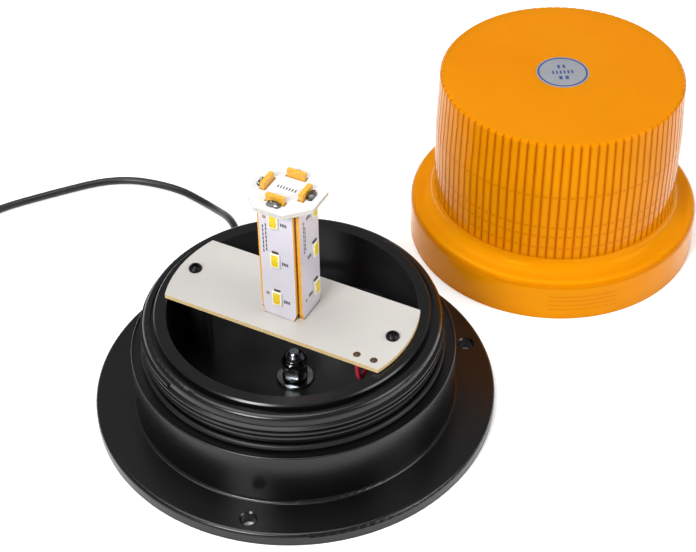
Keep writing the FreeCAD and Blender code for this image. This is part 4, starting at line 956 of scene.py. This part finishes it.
@dataclass
class LightColumn:
    """LEDs, marks, painted shade strips at the seams, and solder on the four boards and their cap, in
    millimetres.

    A tick row is its first place along the board, its step aside, its lowest height and its count. A via
    spot is its side, its place along the board and its height.
    """

    face: float = 7.8
    led: Triple = (3.4, 0.9, 5.8)
    window: Pair = (2.6, 4.2)
    heights: tuple[float, ...] = (50.9, 67.4, 83.9)
    offsets: tuple[float, ...] = (-0.6, 3.0, 0.6, -3.0)
    cap_top: float = 91.3
    board_top: float = 42.7
    board_thickness: float = 1.6
    shade_strip: Triple = (0.5, 0.5, 43.6)
    shade_strip_middle: float = 67.6
    tick: Triple = (0.42, 0.05, 1.3)
    tick_rows: tuple[tuple[float, float, float, int], ...] = ((-4.9, 1.1, 70.0, 14), (-3.6, 0.9, 70.5, 13))
    via_spots: tuple[tuple[int, float, float], ...] = (
        (0, -4.2, 84.2), (0, -4.3, 51.6), (1, -3.6, 82.4), (1, -3.4, 49.4), (2, 4.2, 84.2), (2, 4.3, 51.6),
        (3, 3.6, 82.4), (3, 3.4, 49.4))

    def place(self, side: int, along: float, height: float) -> Matrix:
        """Where a thing modelled on the front board at the origin goes.

        Args:
            side: 0 to 3, for front, right, back and left.
            along: Distance along the board from its middle, in millimetres.
            height: Height above the floor, in millimetres.

        Returns:
            The change of place.
        """
        return about_z(BOARD_TURN + 90 * side) @ shift(along, -self.face, height)

    def lit_part(self) -> tuple[Piece, Piece, Piece]:
        """One LED: moulded body with a well, phosphor filling and soldered terminals.

        Returns:
            The body, the filling and the joined terminals.
        """
        wide, deep, tall = self.led
        body = box("led_body", (wide, deep, tall), (0, -deep / 2, 0), 0.12)
        with edit_mode(body):
            bpy.ops.mesh.select_mode(type="FACE")
            bpy.ops.mesh.select_all(action="DESELECT")
            mesh = bmesh.from_edit_mesh(body.data)
            for face in mesh.faces:
                face.select_set(face.normal.y < -0.99)
            bmesh.update_edit_mesh(body.data)
            bpy.ops.mesh.inset(thickness=(wide - self.window[0]) / 2 * MM - 0.12 * MM)
            bpy.ops.mesh.extrude_region_move(TRANSFORM_OT_translate={"value": (0, 0.4 * MM, 0)})
            bpy.ops.transform.resize(value=(0.9, 1, 0.9), center_override=(0, 0, 0))
        fill = box("led_fill", (self.window[0], 0.34, self.window[1] + 0.8), (0, -deep + 0.19, 0), 0.14)
        ends = [box("led_end", (wide - 0.9, 0.4, 0.8), (0, -0.22, sign * (tall / 2 + 0.22)), 0.14)
                for sign in (-1, 1)]
        return smooth(body), fill, joined("led_terminals", ends)

    def leds(self) -> None:
        """Copy the LED to its twelve places."""
        kinds = (("led_bodies", LED_WHITE, "led_body", ("led_housings",)),
                 ("led_fillings", PHOSPHOR, "led_phosphor", ("led_phosphors",)),
                 ("led_joints", DARK_SOLDER, "solder", ()))
        places = [self.place(side, offset, height) for side, offset in enumerate(self.offsets)
                  for height in self.heights]
        for (name, finish, slot, nodes), model in zip(kinds, self.lit_part()):
            spread(name, model, places, finish, nodes)

    def ticks(self) -> None:
        """Plain ticks of ink beside the LEDs, along the boards and on the cap."""
        spots = []
        for side, offset in enumerate(self.offsets):
            reach = 1 if offset < 1 else -1
            for height in self.heights:
                spots += [(side, offset + reach * (2.5 + 0.62 * step), height - 0.9) for step in range(4)]
            first, aside, low, count = self.tick_rows[side % 2]
            spots += [(side, first + aside * (step % 2), low + 0.85 * step) for step in range(count)]
        places = [self.place(*spot) for spot in spots]
        places += [about_z(BOARD_TURN) @ shift(-3.2 + 1.05 * step, 0.4, self.cap_top + 0.02)
                   @ Matrix.Rotation(math.pi / 2, 4, "X") for step in range(7)]
        spread("board_ticks", box("tick", self.tick, (0, -0.02, 0), 0.01), places, INK)

    def vias(self) -> None:
        """Copper ring round each via of the boards."""
        deselect_all()
        bpy.ops.mesh.primitive_torus_add(major_radius=0.42 * MM, minor_radius=0.2 * MM, major_segments=20,
                                         minor_segments=8, rotation=(math.pi / 2, 0, 0))
        ring = move(smooth(named("via")), Matrix.Diagonal((1, 0.3, 1, 1)))
        spread("ringed_vias", ring, [self.place(*spot) for spot in self.via_spots], COPPER)

    def seams(self) -> None:
        """Strip of painted shade down each corner where two boards meet."""
        corner = self.face - self.board_thickness + 0.14
        # A dark strip that stands for the shade in the open corner between two boards
        shade_strip = box("seam", self.shade_strip, (corner, -corner, self.shade_strip_middle), 0.15)
        spread("seam_shade_strips", shade_strip, [about_z(BOARD_TURN + 90 * side) for side in range(4)], SEAM_SHADE)

    def cap_solder(self) -> None:
        """Lumpy solder on the outer side of each tab, flat where it lies on the cap."""
        texture = bpy.data.textures.new("solder_lumps", "CLOUDS")
        texture.noise_scale = 1.1 * MM
        blobs = []
        for side, (length, width, height) in enumerate(((5.2, 2.6, 1.8), (5.0, 2.7, 1.9), (3.8, 2.0, 1.3),
                                                        (4.4, 2.4, 1.5))):
            deselect_all()
            bpy.ops.mesh.primitive_uv_sphere_add(segments=28, ring_count=18, radius=MM)
            blob = named(f"blob_{side}")
            with edit_mode(blob):
                bpy.ops.mesh.select_all(action="SELECT")
                bpy.ops.transform.resize(value=(length / 2, width / 2, height))
                bpy.ops.mesh.bisect(plane_co=(0, 0, 0.02 * MM), plane_no=(0, 0, 1), use_fill=True,
                                    clear_inner=True)
            modify(blob, "DISPLACE", texture=texture, strength=1.5 * MM, mid_level=0.55,
                   texture_coords="LOCAL")
            with edit_mode(blob):
                pick(blob, lambda spot: spot.z < 0.12 * MM)
                bpy.ops.transform.resize(value=(1, 1, 0), center_override=(0, 0, 0))
            blobs.append(smooth(move(blob, about_z(BOARD_TURN + 90 * side)
                                     @ shift(0.4, -self.face - 1.15, self.cap_top))))
        dress(joined("cap_solder", blobs), SOLDER, replaces=("board_solder",))

    def board_marks(self) -> None:
        """Ringed pads round the wire holes, with the leads' solder."""
        places = [shift(x, y, self.board_top) for x, y in WIRE_HOLES]
        ring = turned("wire_pad", [(1.0, 0.0), (1.3, 0.0), (1.27, 0.04), (1.0, 0.04)], 40)
        spread("wire_pads", ring, places, COPPER)
        dome = turned("wire_joint", rounded([(1.02, -0.5), (1.02, 0.02, 0.2), (0.5, 0.35, 0.3), (0.12, 0.42)],
                                            False), 32, Cap.AXIS, Cap.AXIS)
        spread("wire_joints", dome, places, FLUX)

    def build(self) -> None:
        """Make every small piece of the column and the boards."""
        self.leds()
        self.ticks()
        self.vias()
        self.seams()
        self.cap_solder()
        self.board_marks()


@dataclass
class PlugSpring:
    """Spring behind the plug's fuse."""

    coil_radius: float = 2.7
    wire_radius: float = 0.38
    turns: int = 7
    travel: float = 3.0

    def build(self) -> None:
        """Wind the spring between the bore's floor and the fuse."""
        low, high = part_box("plug_tip_spring")
        length = (high[1] - low[1]) / MM - 2 * self.wire_radius - 0.02
        spring = wound_ridge("tip_spring", self.coil_radius, 0.0, (self.wire_radius, self.wire_radius),
                             360.0 * self.turns, length / self.turns, 8, 24)
        move(spring, Matrix.Rotation(math.pi / 2, 4, "X"))
        middle = ((low[0] + high[0]) / 2, high[1] - (self.wire_radius + 0.01) * MM, (low[2] + high[2]) / 2)
        move(spring, Matrix.Translation(middle))
        dress(spring, ZINC, replaces=("plug_tip_spring",))
        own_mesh(spring)


@dataclass
class LensLabel:
    """Round film on the lens with a printed ring and plain bars."""

    base: float = 71.9
    radius: float = 9.7
    ring: Pair = (8.55, 9.15)

    def build(self) -> None:
        """Make the film, and its print as one joined piece."""
        place = shift(*LENS_CENTRE, 0)
        film = turned("label_film", rounded([(self.radius, self.base), (self.radius, self.base + 0.16, 0.06),
                                             (0.6, self.base + 0.16)], False), 96, Cap.AXIS, Cap.AXIS)
        dress(move(film, place), FILM, Body.LENS, ("lens_label",))
        top = self.base + 0.15
        inks = [turned("label_ring", [(self.ring[0], top), (self.ring[1], top), (self.ring[1], top + 0.04),
                                      (self.ring[0], top + 0.04)], 96)]
        for row, (wide, count) in enumerate(((1.5, 2), (1.0, 6), (1.9, 2))):
            bar = box("bar", (wide * 0.62, 2.0, 0.04), (0, 3.5 - 3.5 * row, top + 0.02), 0.01)
            inks += [copied(bar, f"bar_{row}_{step}", shift((step - (count - 1) / 2) * (wide + 0.4), 0, 0))
                     for step in range(count)]
            bpy.data.objects.remove(bar)
        dress(move(joined("label_print", inks), place), NAVY_INK, Body.LENS)


@dataclass
class Cable:
    """The cable with its put-away coil, and the two leads inside the housing.

    Sizes are in millimetres, apart from the cable's length in metres and coil_start in degrees. Each turn of
    the coil is laid in turn_steps points, and changes to the next turn's place in its last ease_steps.
    """

    width: float = 3.0
    lead_width: float = 1.6
    length: float = 1.8
    boot_end: Triple = (-18.64, 72.08, 11.85)
    after_boot: Triple = (-20.62, 79.73, 11.85)
    route: tuple[Triple, ...] = (
        (-23.4, 88.2, 9.2), (-27.0, 96.8, 5.0), (-32.8, 106.8, 1.6), (-44.8, 117.8, 1.6),
        (-67.8, 125.8, 1.6), (-94.0, 117.3, 1.6), (-119.0, 107.5, 1.6))
    coil_centre: Pair = (-145.0, 109.2)
    coil_layers: tuple[float, ...] = (2.4, 5.8, 9.2, 12.6)
    coil_radii: tuple[float, ...] = (22.2, 19.2, 16.2, 13.2)
    coil_start: float = 308.0
    turn_steps: int = 14
    ease_steps: int = 4
    tail: tuple[Triple, ...] = (
        (-143.6, 85.2, 10.9), (-150.4, 77.0, 9.4), (-152.6, 65.95, 11.0), (-152.6, 58.05, 11.0))
    lead_route: tuple[Triple, ...] = (
        (-6.9, 30.2, 12.2), (3.0, 33.2, 14.2), (18.5, 31.5, 19.0), (29.5, 22.0, 25.0), (35.0, 9.0, 29.5),
        (33.5, -3.5, 33.0), (26.0, -14.5, 34.6))
    red_end: tuple[Triple, ...] = ((24.2, -21.5, 31.5), (21.6, -26.2, 30.6), (20.5, -27.7, 34.5))
    gland: Triple = (-9.21, 35.63, 11.85)
    lead_lift: float = 0.95

    def coil_points(self) -> list[Triple]:
        """Points of the coil's turns: layer by layer, inwards and back out.

        Returns:
            The points, in millimetres.
        """
        points = []
        stops = [(radius, height) for row, height in enumerate(self.coil_layers)
                 for radius in (self.coil_radii if row % 2 == 0 else self.coil_radii[::-1])]
        for step in range(self.turn_steps * (len(stops) - 1) + 1):
            turn, part = divmod(step, self.turn_steps)
            radius, height = stops[turn]
            after = stops[min(turn + 1, len(stops) - 1)]
            ease = max(0.0, (part - self.turn_steps + self.ease_steps) / self.ease_steps)
            radius += (after[0] - radius) * ease
            height += (after[1] - height) * ease
            angle = math.radians(self.coil_start - 360.0 * step / self.turn_steps)
            points.append((self.coil_centre[0] + radius * math.cos(angle),
                           self.coil_centre[1] + radius * math.sin(angle), height))
        return points

    def line(self, name: str, points: Sequence[Triple], width: float) -> Piece:
        """Round cord along a smooth line through space.

        Args:
            name: Name of the new piece.
            points: Control points, in millimetres.
            width: Diameter of the cord, in millimetres.

        Returns:
            The cord, a curve of one open spline.
        """
        curve = bpy.data.curves.new(name, "CURVE")
        curve.dimensions = "3D"
        curve.bevel_depth = width / 2 * MM
        curve.bevel_resolution = 4
        curve.resolution_u = 6
        curve.use_fill_caps = True
        spline = curve.splines.new("NURBS")
        spline.points.add(len(points) - 1)
        for spot, point in zip(spline.points, points):
            spot.co = (point[0] * MM, point[1] * MM, point[2] * MM, 1.0)
        spline.order_u = 3
        spline.use_endpoint_u = True
        piece = bpy.data.objects.new(name, curve)
        bpy.context.scene.collection.objects.link(piece)
        return piece

    def build(self) -> None:
        points = [self.boot_end, self.after_boot, *self.route, *self.coil_points(), *self.tail]
        cable = dress(self.line("supply_cable", points, self.width), JACKET,
                      replaces=("power_cable", "cable_coil", "cable_tail"))
        leads = (("red_wire", -self.lead_lift, RED_PVC, "lead_red"),
                 ("black_wire", self.lead_lift, BLACK_PVC, "lead_black"))
        for (name, lift, finish, slot), (x, y) in zip(leads, WIRE_HOLES):
            points = [(spot[0], spot[1], spot[2] + lift) for spot in (self.gland, *self.lead_route)]
            points += self.red_end if lift < 0 else [(x, y + 0.8, 36.2 + lift)]
            points += [(x, y, 39.5), (x, y, 42.6)]
            dress(self.line(name + "_lead", points, self.lead_width), finish, replaces=(name,))


@dataclass
class Studio:
    """Camera at the photograph's place, pale floor and soft lamps.

    The camera's distance is in millimetres and its angles in degrees. The floor, the lamps and their aim are
    in metres. The floor's own glow rises from floor_glow's first value to its second over glow_reach, and
    there is none within the covered radius under the base. A lamp is its name, place, side and power.
    """

    pitch_down: float = 45.23
    distance: float = 606.68
    focal_px: float = 1709.17
    image: tuple[int, int] = (696, 552)
    yaw: float = 1.93
    pitch: float = 3.77
    roll: float = -2.86
    floor_size: float = 60.0
    covered: float = 0.0695
    floor_glow: Pair = (0.3, 1.0)
    glow_reach: Pair = (0.35, 1.0)
    world_glow: float = 0.3
    aim: Triple = (0.03, 0.03, 0.04)
    lamps: tuple[tuple[str, Triple, float, float], ...] = (
        ("key_lamp", (-0.55, -0.75, 0.85), 0.4, 12.0), ("fill_lamp", (0.95, -0.35, 0.7), 0.6, 5.5),
        ("top_lamp", (-0.25, 0.15, 1.4), 0.9, 11.0))

    def camera(self) -> None:
        """Place the camera that matches the photograph."""
        tilt = math.radians(self.pitch_down)
        place = Vector((0, -self.distance * math.cos(tilt), self.distance * math.sin(tilt)))
        ahead = -place.normalized()
        right = Vector((1, 0, 0))
        above = right.cross(ahead)
        yaw, pitch, roll = (math.radians(value) for value in (self.yaw, self.pitch, self.roll))
        ahead, right = (ahead * math.cos(yaw) + right * math.sin(yaw),
                        right * math.cos(yaw) - ahead * math.sin(yaw))
        ahead, above = (ahead * math.cos(pitch) + above * math.sin(pitch),
                        above * math.cos(pitch) - ahead * math.sin(pitch))
        right, above = (right * math.cos(roll) + above * math.sin(roll),
                        above * math.cos(roll) - right * math.sin(roll))
        data = bpy.data.cameras.new("photo_camera")
        data.sensor_width = 36
        data.lens = self.focal_px / self.image[0] * data.sensor_width
        data.clip_start, data.clip_end = 0.01, 50
        holder = bpy.data.objects.new("photo_camera", data)
        holder.matrix_world = Matrix.Translation(place * MM) @ Matrix(
            (right, above, -ahead)).transposed().to_4x4()
        bpy.context.scene.collection.objects.link(holder)
        bpy.context.scene.camera = holder

    def floor(self) -> None:
        """Pale floor that reads white and keeps a soft shadow."""
        deselect_all()
        bpy.ops.mesh.primitive_plane_add(size=self.floor_size, location=(0, 0, -0.0002))
        piece = named("floor")
        made = bpy.data.materials.new("paper_floor")
        made.use_nodes = True
        tree = made.node_tree
        tree.nodes.clear()
        paths = add_node(tree, "ShaderNodeLightPath").outputs
        seen = add_node(tree, "ShaderNodeMath", {0: paths["Is Camera Ray"], 1: paths["Is Glossy Ray"]},
                        operation="MAXIMUM")
        seen = add_node(tree, "ShaderNodeMath", {0: seen.outputs[0], 1: paths["Is Transmission Ray"]},
                        operation="MAXIMUM")
        paper = add_node(tree, "ShaderNodeBsdfDiffuse", {"Color": linear("f2f2f2"), "Roughness": 0.5})
        place = add_node(tree, "ShaderNodeTexCoord").outputs["Object"]
        reach = add_node(tree, "ShaderNodeVectorMath", {0: place}, operation="LENGTH").outputs["Value"]
        far = add_node(tree, "ShaderNodeMapRange", {
            "Value": reach, "From Min": self.glow_reach[0], "From Max": self.glow_reach[1],
            "To Min": self.floor_glow[0], "To Max": self.floor_glow[1]})
        open_floor = add_node(tree, "ShaderNodeMath", {0: reach, 1: self.covered}, operation="GREATER_THAN")
        strength = add_node(tree, "ShaderNodeMath", {0: far.outputs[0], 1: open_floor.outputs[0]},
                            operation="MULTIPLY")
        glow = add_node(tree, "ShaderNodeEmission", {"Color": WHITE,
                                                     "Strength": strength.outputs[0]})
        both = add_node(tree, "ShaderNodeAddShader", {0: paper.outputs[0], 1: glow.outputs[0]})
        mixed = add_node(tree, "ShaderNodeMixShader", {0: seen.outputs[0], 1: paper.outputs[0],
                                                       2: both.outputs[0]})
        add_node(tree, "ShaderNodeOutputMaterial", {"Surface": mixed.outputs[0]})
        piece.data.materials.append(made)

    def world(self) -> None:
        """Even pale surroundings."""
        made = bpy.data.worlds.new("pale_studio")
        made.use_nodes = True
        tree = made.node_tree
        tree.nodes.clear()
        glow = add_node(tree, "ShaderNodeBackground", {"Color": WHITE, "Strength": self.world_glow})
        add_node(tree, "ShaderNodeOutputWorld", {"Surface": glow.outputs[0]})
        bpy.context.scene.world = made

    def lamp(self, name: str, place: Triple, size: float, power: float) -> None:
        """Soft square lamp that faces the object.

        Args:
            name: Name of the lamp.
            place: Where it stands, in metres.
            size: Its side, in metres.
            power: Its power, in watts.
        """
        data = bpy.data.lights.new(name, "AREA")
        data.size, data.energy = size, power
        holder = bpy.data.objects.new(name, data)
        holder.location = place
        aim = Vector(self.aim) - Vector(place)
        holder.rotation_euler = aim.to_track_quat("-Z", "Y").to_euler()
        bpy.context.scene.collection.objects.link(holder)

    def build(self) -> None:
        """Make the camera, the floor and the light, shown as they are."""
        bpy.context.scene.view_settings.view_transform = "Standard"
        self.camera()
        self.floor()
        self.world()
        for lamp in self.lamps:
            self.lamp(*lamp)


# Finish of every CAD node apart from those of the cable and the leads, which Cable replaces
PLAIN_NODES: dict[str, Finish] = {
    "base_housing": ABS, "neck_seal": RUBBER, "magnet_cup": NICKEL, "magnet_ring": FERRITE,
    "magnet_pad": RUBBER, "mounting_stud": ZINC, "stud_washer": ZINC, "stud_spring_washer": ZINC,
    "stud_nut": ZINC, "main_board": BOARD, "board_screws": BLACK_STEEL, "cap_board": CAP,
    "led_board_front": COLUMN_FRONT, "led_board_back": COLUMN_FRONT, "led_board_right": COLUMN_SIDE,
    "led_board_left": COLUMN_SIDE, "led_housings": LED_WHITE, "led_phosphors": PHOSPHOR,
    "board_solder": SOLDER, "driver_chip": EPOXY, "driver_capacitor": ALUMINIUM, "rectifier_diode": EPOXY,
    "driver_resistors": RESISTOR, "lens": AMBER, "lens_label": FILM, "cable_grommet": RUBBER,
    "cable_entry": JACKET, "coil_tie": NYLON, "plug_cable_end": PLUG, "plug_shell": PLUG,
    "plug_nose_ring": PLUG, "plug_tip": CONTACT, "plug_fuse": GLASS, "plug_tip_spring": ZINC,
    "plug_side_contact_right": CONTACT, "plug_side_contact_left": CONTACT, "plug_strain_relief": RUBBER,
}
# Sub-assemblies, in the order in which they are built
PARTS: tuple[type, ...] = (NeckSeal, MagnetStud, LightColumn, PlugSpring, LensLabel)


def main() -> None:
    """Build the scene: studio and cable first, then each sub-assembly."""
    logging.basicConfig(level=logging.INFO, format="%(name)s: %(message)s")
    Studio().build()
    Cable().build()
    for name, finish in PLAIN_NODES.items():
        dress_node(name, finish)
    for part in PARTS:
        part().build()


if __name__ == "__main__":
    main()
